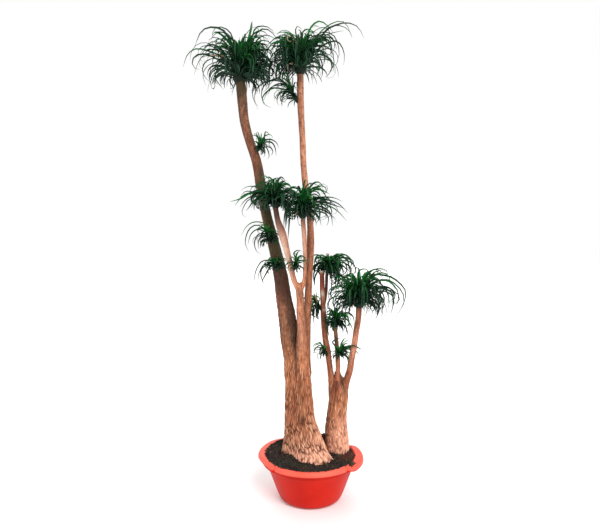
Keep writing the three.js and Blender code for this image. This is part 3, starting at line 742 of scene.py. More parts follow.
# Foot: level rings round the middle line. Lobes and toes swell it towards the soil. Higher up it is the
# rounded union of its own circle and those of the stems that it carries, and it ends in a web between them.
def footTube(plan):
    foot, toes = plan["foot"], plan["toes"]
    steps = footSteps + [(foot["rows"][-1][2], 0)]
    levels = np.concatenate([np.arange(low, high, step) for (low, step), (high, _) in zip(steps, steps[1:])])
    known = [row[2] for row in foot["rows"]]
    middle = smoothRows(foot["rows"], np.interp(levels, known, np.arange(len(known))))
    angle = roundAngles(foot["around"])
    height, radius = levels[:, None], middle[:, 3:]
    overSoil = np.maximum(0, height - soilLine)
    reach = radius + 0 * angle
    for centre, width, size in plan["lobes"]:
        reach = reach + size * hump(degreesPast(angle, centre), width) * np.exp(-overSoil / flareFade)
    number = toes["count"]
    toeShape = softNoise(angle * number / (2 * np.pi), height / 160, number, plan["seed"]) - 0.45
    reach = reach + toes["size"] * 2 * toeShape * mix(0.25, 1, np.exp(-overSoil / toes["fade"]))
    grooved = smoothStep(*plan["grooveStart"], height)
    for centre, width, size in plan["grooves"]:
        reach = reach - size * hump(degreesPast(angle, centre), width) * grooved
    blend = mix(9, 22, smoothStep(plan["shoulder"][0] - 120, plan["shoulder"][1], height))
    total = np.maximum(reach, 1) ** blend
    for stem in plan["stems"]:
        if stem["name"] in foot["carries"]:
            total = total + np.maximum(farSide(stem, levels, middle, angle), 1) ** blend
    shoulder = smoothStep(*plan["shoulder"], height)
    reach = total ** (1 / blend) * mix(1, 0.25, shoulder ** 1.5)
    young = smoothStep(*plan["young"], height)
    plate = np.cumsum(np.gradient(levels) / np.interp(levels, *zip(*foot["cell"])))[:, None]
    knobbly = np.exp(-np.maximum(0, height - soilLine - 15) / plan["knobFade"])
    relief, values = barkRelief(angle + 0 * height, height + 0 * angle, plate + 0 * angle, reach,
                                foot["columns"], young, knobbly, foot["seed"])
    reach = reach + relief * smoothStep(250, 262, height) * (1 - shoulder)
    ring = np.stack([middle[:, :1] + reach * np.cos(angle), middle[:, 1:2] + reach * np.sin(angle),
                     height + 0 * reach], -1)
    values.update(stainsOf(foot["stains"], height, angle, foot["seed"]))
    values["young"] = young + 0 * angle
    return closedTube(ring / 1000, middle[[0, -1], :3] / 1000, values)


# Stem: round rings square to the middle line, carrying the bark's relief
def stemTube(plan, stem):
    rows, travelled = evenRows(stem["rows"], stem["step"])
    centre, radius = rows[:, :3], rows[:, 3:]
    way = unit(np.gradient(centre, axis=0))
    across = squareTo(way, 0)
    angle = roundAngles(stem["around"])
    along = travelled[:, None] + 0 * angle
    height = centre[:, 2:] + 0 * angle
    young = smoothStep(*plan["young"], height)
    relief, values = barkRelief(angle + 0 * along, along, along / stem["cell"], radius,
                                stem["columns"], young, 0, stem["seed"])
    slow = softNoise(angle * 4 / (2 * np.pi), along / 70, 4, stem["seed"] + 20) - 0.5
    ring = ringPoints(centre, radius * (1 + 0.08 * slow) + relief, angle, across, np.cross(way, across))
    values.update(stainsOf(stem["stains"], height, angle, stem["seed"]))
    values["young"] = young
    return closedTube(ring / 1000, centre[[0, -1]] / 1000, values)


# Averages each chosen vertex with its neighbours a few times, by its own strength from 0 to 1
def relax(vertices, edges, strength, rounds):
    for _ in range(rounds):
        total, count = np.zeros_like(vertices), np.zeros(len(vertices))
        for here, there in (edges.T, edges.T[::-1]):
            np.add.at(total, here, vertices[there])
            np.add.at(count, here, 1)
        vertices = vertices + strength[:, None] * (total / count[:, None] - vertices)
    return vertices


# The number of the nearest of some places to each asked one, and how far it is
def nearestOf(places, asked):
    tree = KDTree(len(places))
    for index, place in enumerate(places):
        tree.insert(place, index)
    tree.balance()
    found = [tree.find(place) for place in asked]
    return np.array([hit[1] for hit in found]), np.array([hit[2] for hit in found])


# One trunk: its foot and stems joined to one closed body, softened where they meet. The meeting is a
# crotch where the softening has lifted the bark, and painted shade darkens it there.
def makeTrunk(plan, material):
    tubes = [footTube(plan)] + [stemTube(plan, stem) for stem in plan["stems"]]
    trunk, *others = [newPiece("tube", {**tube, "values": {}}, material) for tube in tubes]
    combine(trunk, "UNION", others)
    trunk.name = plan["node"].replace("trunk_", "palm_") + "_trunk"
    mesh = trunk.data
    vertices = readRows(mesh.vertices, "co", 3).astype(float)
    normals = readRows(mesh.vertex_normals, "vector", 3)
    edges = readRows(mesh.edges, "vertices", 2, np.int32)
    nearest, apart = nearestOf(np.vstack([tube["vertices"] for tube in tubes]), vertices)
    fromSeam = nearestOf(vertices[apart > seam["fresh"]], vertices)[1]
    strength = seam["strength"] * (1 - smoothStep(*seam["reach"], fromSeam))
    softened = relax(vertices, edges, strength, seam["rounds"])
    lifted = np.sum((softened - vertices) * normals, axis=1)
    lifted = relax(lifted[:, None], edges, 0.5 + 0 * strength, 3)[:, 0]
    mesh.vertices.foreach_set("co", softened.astype(np.float32).ravel())
    values = {key: np.concatenate([tube["values"][key] for tube in tubes])[nearest]
              for key in tubes[0]["values"]}
    # painted shade in the crotches, where the softening lifted the bark
    values["crotch"] = smoothStep(*seam["lifted"], lifted)
    finishMesh(mesh, values)
    dress(trunk, "bark", plan["node"])
    return trunk


# Corky bark: orange-brown plates with cream crowns and dark fissures, stained red-brown and olive in places,
# and salmon with rings of leaf scars on young stems. The crowns' cream is partly a painted highlight and the
# fissures' dark partly painted shade; near-black painted shade, in part the bark's own darker tone, lies
# where stems shade each other, and painted shade darkens the crotches.
def corkyBark():
    material, tree = newMaterial("corkyBark")
    place = addNode(tree, "TexCoord", output="Object")
    given = {name: addNode(tree, "Attribute", output="Fac", attribute_name=name)
             for name in "crack crown tone young crotch shade red pale moss wood".split()}
    tall = addNode(tree, "Mapping", {"Vector": place, "Scale": (1, 1, 0.2)})
    streaks = addNode(tree, "TexNoise", {
        "Vector": tall, "Scale": 110.0, "Detail": 5.0, "Roughness": 0.62, "Distortion": 0.4})
    flecks = addNode(tree, "TexNoise", {"Vector": place, "Scale": 170.0, "Detail": 3.0})
    patches = addNode(tree, "TexNoise", {"Vector": tall, "Scale": 16.0, "Detail": 4.0})
    fresh = layColours(tree, "ac6340", [(given["tone"], 0, 1, 0, 1, "cc865f")])
    colour = layColours(tree, "96532c", [
        (given["tone"], 0, 1, 0, 1, "c87c4c"),
        (given["young"], 0, 1, 0, 1, fresh),
        (patches, 0.42, 0.62, 0, 0.6, "9c5630"),
        (given["pale"], 0, 1, 0, 1, "f8b192"),
        # painted highlight in part: the plates' crowns lit cream, over their own paler bark
        (streaks, 0.36, 0.62, 0.25, 1, "f6c3a0", given["crown"]),
        (streaks, 0.54, 0.72, 0, 0.5, "ecb48e"),
        (streaks, 0.46, 0.32, 0, 0.6, "703a1c"),
        (flecks, 0.60, 0.70, 0, 0.55, "f0cbb6", given["young"]),
        (flecks, 0.42, 0.32, 0, 0.6, "7a3f2c", given["young"]),
        (given["red"], 0, 1, 0, 0.85, "84361f"),
        # painted shade in part: near-black where stems shade each other, in creases, on sides away from the
        # light and under the crowns; in part the bark's own darker tone
        (streaks, 0.3, 0.7, 1, 0.75, "2a1b0f", given["shade"]),
        (given["moss"], 0, 1, 0, 0.75, "343a1a"),
        # painted shade in part: fissures and groove hollows darkened, over their own darker inner bark
        (given["crack"], 0, 1, 0, 1, "4c2410"),
        (given["wood"], 0, 1, 0, 1, "cfc2b2"),
        # painted shade in the crotches
        (given["crotch"], 0, 1, 0, 0.8, "301a0e"),
    ])
    fine = addNode(tree, "TexNoise", {"Vector": tall, "Scale": 420.0, "Detail": 3.0, "Roughness": 0.65})
    bump = addNode(tree, "Bump", {"Height": fine, "Strength": 0.8, "Distance": 0.0022})
    closeMaterial(tree, {"Base Color": colour, "Roughness": 0.88, "Normal": bump})
    return material


bark = corkyBark()
trunks = [makeTrunk(plan, bark) for plan in (largeTrunk, smallTrunk)]
print("trunks made,", [len(trunk.data.polygons) for trunk in trunks], "faces")


# Soil, in metres, but heaps are x, y and their widths that way in millimetres
soil = {
    "edge": 0.2785,
    "lump": 0.005,
    "mound": {"heap": (-85, -20, 140, 140), "rise": 0.012},
    "left": {"heap": (-165, 70, 120, 150), "rise": 0.024},
    "banked": {"heap": (-112, -84, 52, 46), "rise": 0.020},
    "right": (270, 0, 90, 130),
    "backRise": 0.022,
    "rings": 90,
    "around": 240,
    # radius and height up the side, inside the bowl
    "side": [(0.1644, 0.0066), (0.1904, 0.0166), (0.2124, 0.0546), (0.2814, 0.2286), (0.2874, 0.262)],
    "innermost": 0.004,
    "seed": 17,
    "crumbs": 3400,
    "chips": 520,
    "crumbsRadius": 0.2885 * 0.985,
    # loose bits: least size, what a power of a random number adds to it, stretch each way, and how far they
    # stand out of the soil as a share of the size
    "loose": {"size": (0.0022, 0.0048, 2.2), "stretch": (0.7, 1.2), "chip": (2.6, 1.4, 0.45), "over": 0.25},
    "lipBits": {"size": (0.0020, 0.0040, 2), "stretch": (0.6, 1.6), "flat": (1.4, 1.2, 0.6), "over": 0.2},
    # bits spilled on to the lip: how many, round which angle and how far to its sides (degrees), and from
    # which radius to which. Most are in front and at the left, and a few on the right handle's end. The last
    # is a heap at the back, of larger bits.
    "spilled": [(420, -112, 42, 0.2865, 0.305), (46, -35, 3.5, 0.300, 0.330), (520, 157, 20, 0.284, 0.299),
                (170, 71, 5.5, 0.288, 0.319)],
    "heapSize": 1.7,
}


# A heap at a place: a bell over x times a bell over y
def heapAt(x, y, heap):
    return np.exp(-((x - heap[0]) / heap[2]) ** 2 - ((y - heap[1]) / heap[3]) ** 2)


# Height of the soil: its edge height, a broad heap at the large foot, one at the back left that slopes down
# to the lip, a rise to the back as the lip's with a small one at the right, soil banked up at the foot's
# front left, and then long lumps and short ones
def soilHeight(x, y):
    toLip = 1 - smoothStep(0.262, 0.287, np.hypot(x, y))
    x, y = x * 1000, y * 1000
    mound, left, banked = (soil[name]["rise"] * heapAt(x, y, soil[name]["heap"])
                           for name in ("mound", "left", "banked"))
    broad = np.sin(x / 31 + y / 47) * np.cos(y / 29 - x / 53)
    small = np.sin(x / 17) * np.sin(y / 19)
    clods = softNoise(x / 14 + 40, y / 14 + 40, 1000, 3) + 0.5 * softNoise(x / 6 + 40, y / 6 + 40, 1000, 4)
    lumps = soil["lump"] * (broad + 0.6 * small + 1.1 * (clods - 0.75))
    back = smoothStep(-40, 270, y) + 0.35 * heapAt(x, y, soil["right"])
    return soil["edge"] + mound + left * mix(0.7, 1, toLip) + soil["backRise"] * back + banked + lumps


# Soil body: the top is rings of the height function, and its side follows the inside of the bowl
def makeSoil(plan, material):
    angle = roundAngles(plan["around"])
    side = np.array(plan["side"])
    top = np.linspace(side[-1, 0], plan["innermost"], plan["rings"])
    radius = np.append(side[:, 0], top)[:, None] + 0 * angle
    x, y = radius * np.cos(angle), radius * np.sin(angle)
    height = soilHeight(x, y)
    height[:len(side)] = side[:, 1:]
    ends = [(0, 0, side[0, 1]), (0, 0, soilHeight(0, 0))]
    body = closedTube(np.stack([x, y, height], -1), ends, {"tone": 0 * x})
    dress(newPiece("potting_soil", body, material), "potting_soil", "soil")


# Random turns, one a row, as 3 by 3 matrices from random unit quaternions
def randomTurns(draw, count):
    w, x, y, z = unit(draw.normal(size=(count, 4))).T
    rows = [[1 - 2 * (y * y + z * z), 2 * (x * y - w * z), 2 * (x * z + w * y)],
            [2 * (x * y + w * z), 1 - 2 * (x * x + z * z), 2 * (y * z - w * x)],
            [2 * (x * z - w * y), 2 * (y * z + w * x), 1 - 2 * (x * x + y * y)]]
    return np.array(rows).transpose(2, 0, 1)


# Loose bits: one dented 20-sided lump for each, stretched to its own size, turned at random and half sunk
def scatter(name, places, sizes, draw, material, tones):
    golden = (1 + 5 ** 0.5) / 2
    corner = np.array([(-1, golden, 0), (1, golden, 0), (-1, -golden, 0), (1, -golden, 0), (0, -1, golden),
                       (0, 1, golden), (0, -1, -golden), (0, 1, -golden), (golden, 0, -1), (golden, 0, 1),
                       (-golden, 0, -1), (-golden, 0, 1)]) / math.hypot(1, golden)
    face = np.array([(0, 11, 5), (0, 5, 1), (0, 1, 7), (0, 7, 10), (0, 10, 11), (1, 5, 9), (5, 11, 4),
                     (11, 10, 2), (10, 7, 6), (7, 1, 8), (3, 9, 4), (3, 4, 2), (3, 2, 6), (3, 6, 8),
                     (3, 8, 9), (4, 9, 5), (2, 4, 11), (6, 2, 10), (8, 6, 7), (9, 8, 1)])
    count = len(places)
    dents = draw.uniform(0.7, 1.2, (count, 12, 1))
    lumps = (corner * dents) * sizes[:, None] @ randomTurns(draw, count).transpose(0, 2, 1) + places[:, None]
    faces = (face[None] + 12 * np.arange(count)[:, None, None]).reshape(-1, 3).tolist()
    shape = {"vertices": lumps.reshape(-1, 3), "faces": faces, "values": {"tone": np.repeat(tones, 12)}}
    return newPiece(name, shape, material, smooth=False)


def bitSize(draw, count, size):
    least, more, power = size
    return least + more * draw.uniform(0, 1, count) ** power


# Crumbs and flat chips drawn evenly over the soil, most of them small, and bits spilled on to the lip
def makeCrumbs(plan, material):
    draw = np.random.default_rng(plan["seed"])
    count = plan["crumbs"] + plan["chips"]
    radius = plan["crumbsRadius"] * np.sqrt(draw.uniform(0, 1, count))
    angle = draw.uniform(0, 2 * np.pi, count)
    x, y = radius * np.cos(angle), radius * np.sin(angle)
    loose, lipBits, groups = plan["loose"], plan["lipBits"], plan["spilled"]
    size = bitSize(draw, count, loose["size"])
    sizes = size[:, None] * draw.uniform(*loose["stretch"], (count, 3))
    sizes[plan["crumbs"]:] *= loose["chip"]
    places = np.stack([x, y, soilHeight(x, y) + loose["over"] * size], -1)
    tones = draw.uniform(0, 1, count)
    more = sum(group[0] for group in groups)
    angle = np.radians(np.concatenate([draw.normal(turn, width, size) for size, turn, width, _, _ in groups]))
    radius = np.concatenate([near + (far - near) * draw.uniform(0, 1, size) ** 1.4
                             for size, _, _, near, far in groups])
    x, y = radius * np.cos(angle), radius * np.sin(angle)
    lip = potHeight + bowl["backRise"] * backShare(angle)
    height = mix(soilHeight(x, y), lip, smoothStep(0.288, 0.2985, radius))
    size = bitSize(draw, more, lipBits["size"])
    size[-groups[-1][0]:] *= plan["heapSize"]
    places = np.vstack([places, np.stack([x, y, height + lipBits["over"] * size], -1)])
    stretched = size[:, None] * draw.uniform(*lipBits["stretch"], (more, 3)) * lipBits["flat"]
    sizes = np.vstack([sizes, stretched])
    tones = np.append(tones, draw.uniform(0.3, 1, more))
    dress(scatter("soil_crumbs", places, sizes, draw, material, tones), "potting_soil")


# Damp potting mix: near-black peat with brown bark chips, a little moss and a few pale grains, drier and
# red-brown by the right handle
def pottingMix():
    material, tree = newMaterial("dampPottingMix")
    place = addNode(tree, "TexCoord", output="Object")
    tone = addNode(tree, "Attribute", output="Fac", attribute_name="tone")
    clods = addNode(tree, "TexNoise", {"Vector": place, "Scale": 60.0, "Detail": 6.0})
    broad = addNode(tree, "TexNoise", {"Vector": place, "Scale": 13.0, "Detail": 2.0})
    fromDry = addNode(tree, "VectorMath", {0: place, 1: (0.265, -0.03, 0.27)}, "Value", operation="DISTANCE")
    colour = layColours(tree, "080303", [
        (clods, 0.35, 0.65, 0, 1, "2a140f"),
        (broad, 0.5, 0.62, 0, 0.7, "1e2210"),
        (fromDry, 0.04, 0.11, 0.8, 0, "55281a"),
        (tone, 0.72, 0.86, 0, 0.85, "54321f"),
        (tone, 0.88, 0.92, 0, 0.85, "38421f"),
        (tone, 0.992, 0.997, 0, 0.7, "8d8a6a"),
    ])
    fine = addNode(tree, "TexNoise", {"Vector": place, "Scale": 700.0, "Detail": 4.0})
    bump = addNode(tree, "Bump", {"Height": fine, "Strength": 0.8, "Distance": 0.002})
    closeMaterial(tree, {"Base Color": colour, "Roughness": 0.93, "Normal": bump})
    return material


mixture = pottingMix()
makeSoil(soil, mixture)
makeCrumbs(soil, mixture)
print("soil made")


# Heads of leaves. at is where the core starts (mm), core is its radius and height (mm), tilt leans it.
# facing and spread give the side that leaves leave on, rise their first slope from the lowest leaf to the
# innermost, and reach the length of the longest. pull lengthens the leaves near an angle. Degrees and mm.
headNames = ["name", "seed", "at", "core", "tilt", "count", "facing", "spread", "rise", "reach", "pull"]
heads = [dict(zip(headNames, row)) for row in [
    ("crown_left", 11, (-466, 40, 2762), (50, 130), (0, 0), 170, 180, 180, (6, 86), 390, (180, 0.08)),
    ("crown_top", 23, (-68, 90, 2838), (42, 120), (0, 0), 160, 0, 180, (6, 86), 350, (0, 0.14)),
    ("crown_middle_left", 31, (-223, -139, 1922), (30, 85), (-6, 0),
     170, 180, 180, (-4, 78), 215, (180, 0.08)),
    ("crown_middle_right", 47, (-53, -75, 1862), (30, 85), (2, -2), 160, 0, 180, (-6, 80), 250, (0, 0.22)),
    ("crown_right", 59, (322, 15, 1280), (42, 105), (6, 0), 200, 0, 180, (-8, 78), 280, (0, 0.28)),
    ("crown_sawn_stem", 61, (117, 140, 1512), (26, 70), (8, 0), 130, 15, 180, (-45, 44), 205, (0, 0.25)),
    ("crown_short_stem", 73, (170, 60, 1135), (22, 62), (2, 0), 90, 0, 180, (-25, 74), 150, (0, 0.1)),
    ("shoot_top", 83, (-84, 84, 2636), (13, 112), (-74, -6), 54, 190, 110, (-2, 74), 180, (180, 0.1)),
    ("shoot_upper", 97, (-358, 46, 2300), (14, 62), (36, -12), 40, -10, 130, (-20, 80), 135, (0, 0.1)),
    ("shoot_left_high", 101, (-262, 22, 1700), (16, 66), (-20, -30),
     70, -110, 125, (-14, 74), 118, (180, 0.2)),
    ("shoot_left_low", 113, (-220, 4, 1520), (16, 62), (-12, -34), 62, -105, 130, (-14, 66), 112, (180, 0.2)),
    ("shoot_fork", 127, (-104, -108, 1526), (12, 58), (14, -24), 36, -60, 150, (-20, 80), 115, (0, 0)),
    ("shoot_small_left", 131, (75, 124, 1240), (12, 56), (-38, -6), 40, 186, 75, (-60, 78), 180, (0, 0)),
    ("shoot_small_mid", 149, (184, 54, 930), (12, 50), (16, -26), 46, -30, 125, (-15, 74), 135, (0, 0.2)),
    ("shoot_small_low", 151, (112, 94, 935), (12, 50), (-26, -20), 30, 200, 90, (-10, 66), 110, (180, 0.1)),
]]

# Leaves that stand out against the light. Each is millimetres right and up from the head's start, then the
# same for its next point.
standOut = {
    "crown_left": [
        (-52, 292, -132, 355, -177, 328, -182, 279), (-88, 305, -190, 352, -258, 318, -298, 225),
        (-88, 225, -132, 274, -177, 252, -208, 203),
        (-114, 154, -208, 194, -290, 209, -346, 171, -376, 90),
        (-123, 149, -208, 176, -271, 171, -304, 136), (-150, 171, -221, 176, -271, 127, -304, 38),
        (-96, 127, -168, 118, -213, 96, -244, 42, -226, -30), (-88, 82, -150, 69, -160, 15, -110, -56),
        (-70, 55, -114, 38, -132, 6, -118, -24), (-50, 40, -66, 0, -44, -42, -66, -50),
        (82, 247, 104, 305, 149, 341, 205, 325, 262, 248),
        (78, 280, 100, 345, 148, 360, 200, 345, 235, 300), (87, 225, 127, 283, 180, 301, 244, 268),
        (82, 207, 114, 252, 167, 265, 230, 230), (78, 120, 104, 30, 84, -60, 92, -130, 122, -168),
        (-21, 216, -40, 300, -70, 338, -120, 320), (-62, 250, -100, 312, -150, 318, -190, 275),
        (30, 180, 62, 300, 78, 384), (34, 170, 68, 300, 86, 372), (28, 190, 59, 300, 75, 380),
        (32, 180, 65, 304, 80, 386), (30, 170, 61, 292, 82, 382), (33, 185, 66, 306, 84, 390),
        (27, 175, 58, 292, 77, 386), (36, 190, 68, 310, 81, 391), (5, 150, 0, 230, -4, 290),
        (10, 150, 16, 235, 18, 300), (15, 150, 30, 240, 38, 298), (20, 150, 42, 235, 58, 288),
        (25, 150, 55, 225, 78, 266), (0, 150, -12, 220, -24, 268), (12, 140, 24, 220, 30, 276),
        (18, 140, 36, 215, 50, 258), (-110, 190, -160, 232, -215, 232, -262, 180),
        (-60, 90, -110, 84, -165, 40, -180, -20), (70, 120, 120, 170, 180, 150, 215, 80),
        (60, 90, 110, 100, 160, 60, 180, 0),
    ],
    "crown_top": [
        (60, 194, 130, 259, 190, 262, 240, 222, 262, 128, 248, 71),
        (69, 156, 135, 222, 201, 255, 295, 274), (50, 245, 78, 305, 130, 336, 182, 306, 222, 258),
        (116, 245, 182, 305, 248, 335, 304, 322, 350, 225),
        (154, 259, 215, 305, 275, 305, 323, 278, 346, 230),
        (160, 262, 248, 315, 323, 325, 389, 295, 425, 225),
        (60, 137, 107, 170, 168, 170, 210, 137, 229, 71),
        (150, 175, 238, 205, 280, 165, 297, 105, 290, 43), (50, 100, 88, 123, 121, 90, 144, 10),
        (60, 71, 102, 76, 128, 34, 107, -37), (45, 71, 69, 53, 64, 10, 50, -32),
        (8, 165, 13, 240, 31, 288), (41, 212, 60, 275, 85, 312, 125, 298),
        (-20, 203, -32, 272, -14, 305, 12, 275), (-44, 194, -91, 236, -138, 241, -175, 205),
        (-34, 175, -81, 203, -128, 190, -166, 140), (-48, 147, -72, 100, -81, 29),
        (-58, 156, -95, 109, -121, 43), (110, 190, 170, 230, 220, 215, 245, 150),
        (-60, 90, -110, 80, -150, 30, -158, -40), (-60, 150, -110, 205, -160, 222, -215, 185),
        (-50, 160, -105, 222, -160, 228, -222, 170), (-60, 140, -120, 190, -185, 190, -230, 120),
    ],
    "crown_middle_left": [
        (-90, 88, -170, 78, -220, 48, -288, 28), (-100, 58, -170, 38, -205, -12, -212, -52, -185, -70),
        (-90, 103, -140, 88, -190, 93, -225, 58), (-60, 128, -20, 168, 25, 178, 60, 148),
        (-30, 148, -5, 164, -50, 158, -90, 128), (40, 88, 100, 118, 150, 103, 170, 58),
        (40, 60, 80, 40, 72, -60, 64, -140), (45, 40, 92, 10, 86, -100, 78, -212),
        (30, 30, 66, 0, 56, -70, 50, -125), (50, 70, 98, 30, 92, -50, 72, -112),
        (35, 50, 76, 10, 64, -80, 58, -150), (20, 60, 60, 98, 100, 68, 120, 8),
        (-60, 50, -100, 60, -130, 30, -140, -20), (-50, 70, -95, 90, -135, 70, -160, 20),
        (-116, 83, -169, 80, -211, 62, -258, 4), (-110, 60, -160, 58, -200, 30, -226, -5),
        (-100, 110, -150, 124, -190, 118, -222, 96), (-100, 50, -140, 30, -170, -10, -190, -30),
    ],
    "crown_middle_right": [
        (40, 150, 70, 185, 120, 170, 155, 120, 160, 60), (60, 110, 130, 125, 200, 120, 260, 95),
        (60, 90, 140, 90, 210, 70, 275, 50), (60, 70, 130, 60, 180, 20, 195, -60),
        (60, 80, 150, 75, 220, 40, 285, -30), (50, 60, 110, 50, 170, 20, 215, -20),
        (-40, 120, -70, 170, -100, 160, -130, 120), (-40, 90, -80, 100, -105, 60, -100, 10),
        (10, 130, 20, 190, 60, 215, 110, 190), (80, 110, 170, 105, 240, 75, 290, 20),
    ],
    "crown_right": [
        (-8, 150, -4, 222, 42, 240, 80, 208), (60, 150, 91, 208, 124, 224, 157, 188),
        (60, 160, 110, 204, 180, 196, 239, 172, 310, 90, 288, -25),
        (60, 130, 120, 160, 179, 168, 228, 134, 261, 80, 255, 3),
        (60, 110, 157, 110, 212, 90, 228, 36, 217, -47, 179, -63),
        (60, 80, 110, 60, 135, 3, 118, -79, 105, -101), (60, 80, 130, 70, 157, 0, 151, -74, 118, -112),
        (40, 50, 70, 40, 78, -10, 64, -52), (80, 140, 190, 170, 280, 100, 300, 20, 255, -63, 217, -101),
        (-50, 100, -62, 123, -145, 190, -194, 196), (-50, 70, -84, 88, -150, 90, -205, 66),
        (-50, 50, -84, 69, -134, 36, -156, -36), (-50, 40, -68, 50, -90, 14, -95, -30),
        (-40, 120, -90, 170, -130, 170, -150, 130), (-50, 60, -100, 60, -124, 10, -128, -40),
        (70, 100, 140, 130, 190, 80, 200, 10, 186, -50), (50, 130, 100, 170, 140, 150, 170, 90),
        (-30, 150, -60, 190, -100, 180, -120, 140),
    ],
    "crown_sawn_stem": [
        (40, 65, 80, 96, 130, 99, 160, 66, 172, 20), (40, 60, 90, 84, 135, 70, 150, 20, 150, -40),
        (30, 40, 80, 44, 110, 0, 115, -60), (-30, 60, -60, 84, -84, 60, -90, 10),
        (30, 20, 60, -10, 90, -60, 80, -130), (20, 10, 50, -40, 60, -100, 40, -160),
        (40, 0, 90, -30, 130, -80, 140, -140), (-30, 20, -60, -10, -84, -60, -84, -120),
        (-30, 40, -70, 30, -92, -40, -88, -110), (-30, 66, -60, 96, -100, 92, -112, 60),
        (30, 10, 70, -20, 110, -60, 150, -110), (20, 0, 34, -60, 30, -130, 16, -190),
        (40, 30, 100, 30, 150, -10, 186, -30),
    ],
    "crown_short_stem": [
        (30, 70, 80, 90, 120, 60, 125, 0), (30, 50, 70, 50, 105, 0, 118, -36),
        (20, 30, 60, 10, 80, -40, 84, -76), (-20, 40, -50, 30, -52, -30, -40, -80),
    ],
    "shoot_top": [
        (-76, 110, -110, 146, -149, 153, -218, 119, -244, 50, -227, -19),
        (-76, 90, -110, 106, -149, 106, -192, 84, -235, -2), (-72, 60, -115, 67, -149, 33, -158, 7),
        (-80, 120, -184, 140, -270, 93, -290, 16, -266, -53), (-76, 60, -106, 40, -115, 7, -80, -2),
        (-80, 80, -170, 90, -235, 33, -218, -19, -171, -40), (-76, 100, -120, 120, -170, 100, -205, 40),
    ],
    "shoot_upper": [
        (30, 60, 0, 100, -30, 108), (50, 70, 90, 80, 130, 60, 150, 20),
        (50, 60, 100, 60, 125, 20, 130, -30), (40, 40, 70, 20, 84, -30, 70, -54),
        (50, 90, 60, 130, 90, 110),
    ],
    "shoot_left_high": [
        (-36, 90, -51, 123, -117, 128, -166, 95, -196, 40), (-36, 60, -90, 79, -133, 46, -153, -20),
        (-40, 50, -84, 46, -109, -9, -95, -63, -68, -80), (-36, 40, -73, 24, -84, -20, -79, -52),
        (-30, 20, -62, 8, -68, -20, -51, -36), (-36, 80, -100, 108, -150, 70, -170, -10, -145, -66),
    ],
    "shoot_left_low": [
        (-34, 50, -98, 50, -141, -16, -155, -109), (-30, 30, -70, -27, -109, -98),
        (-30, 20, -59, -11, -48, -49), (-34, 44, -103, -5, -98, -76, -65, -109),
        (-34, 40, -84, 30, -120, -30, -124, -84),
    ],
    "shoot_fork": [(10, 60, 40, 84, 76, 66), (10, 50, 50, 54, 96, 50), (0, 80, -6, 100, 20, 118, 50, 110)],
    "shoot_small_left": [
        (-10, 40, -40, 10, -50, -60, -44, -130), (-20, 60, -50, 50, -70, 0, -72, -60),
        (-10, 70, -40, 90, -60, 60, -62, 10),
    ],
    "shoot_small_mid": [
        (30, 50, 80, 60, 120, 40, 140, 10), (20, 60, 20, 90, 50, 110), (30, 40, 70, 30, 110, 0),
        (40, 50, 90, 64, 140, 56, 168, 46), (40, 60, 95, 74, 140, 60, 160, 30),
        (30, 40, 80, 50, 125, 30, 150, 14), (-20, 70, -36, 96, -10, 116, 24, 122),
    ],
    "shoot_small_low": [(-20, 40, -50, 60, -84, 30, -90, -10), (-20, 50, -50, 75, -84, 66, -96, 30)],
}

# More leaves drawn on the side where one head reaches into the next, and upright in the middle
tangles = {
    "crown_left": [
        {"count": 100, "facing": 0, "spread": 60, "rise": (4, 78), "reach": 360},
        {"count": 36, "facing": 0, "spread": 34, "rise": (30, 74), "reach": 410},
        {"count": 50, "facing": 10, "spread": 180, "rise": (72, 92), "reach": 235},
    ],
    "crown_top": [
        {"count": 100, "facing": 180, "spread": 62, "rise": (-6, 76), "reach": 360},
        {"count": 26, "facing": 0, "spread": 180, "rise": (70, 90), "reach": 205},
    ],
    "crown_right": [
        {"count": 60, "facing": 180, "spread": 50, "rise": (-8, 56), "reach": 290, "pull": (180, 0.05)},
        {"count": 26, "facing": 165, "spread": 80, "rise": (46, 80), "reach": 215},
    ],
    "crown_sawn_stem": [{"count": 30, "facing": -5, "spread": 66, "rise": (-38, 34), "reach": 240}],
}

# Places kept open, so that the stem or the light behind them shows: lowest and highest corners in millimetres
keptOpen = {
    "crown_left": [((-530, -400, 3060), (-455, 600, 3400)), ((-530, -500, 3000), (-440, 0, 3400))],
    "crown_top": [((-150, -400, 3140), (20, 600, 3400)), ((-150, -500, 3040), (20, 30, 3400)),
                  ((20, -400, 2500), (400, 600, 2785))],
    "crown_middle_left": [((-262, -420, 1760), (-186, -150, 1912)), ((-420, -400, 2112), (-255, 600, 2300))],
    "crown_right": [((-200, -400, 1526), (700, 600, 1900))],
    "crown_sawn_stem": [((46, -220, 1380), (106, 128, 1512)), ((-200, -400, 1618), (600, 600, 1900))],
}

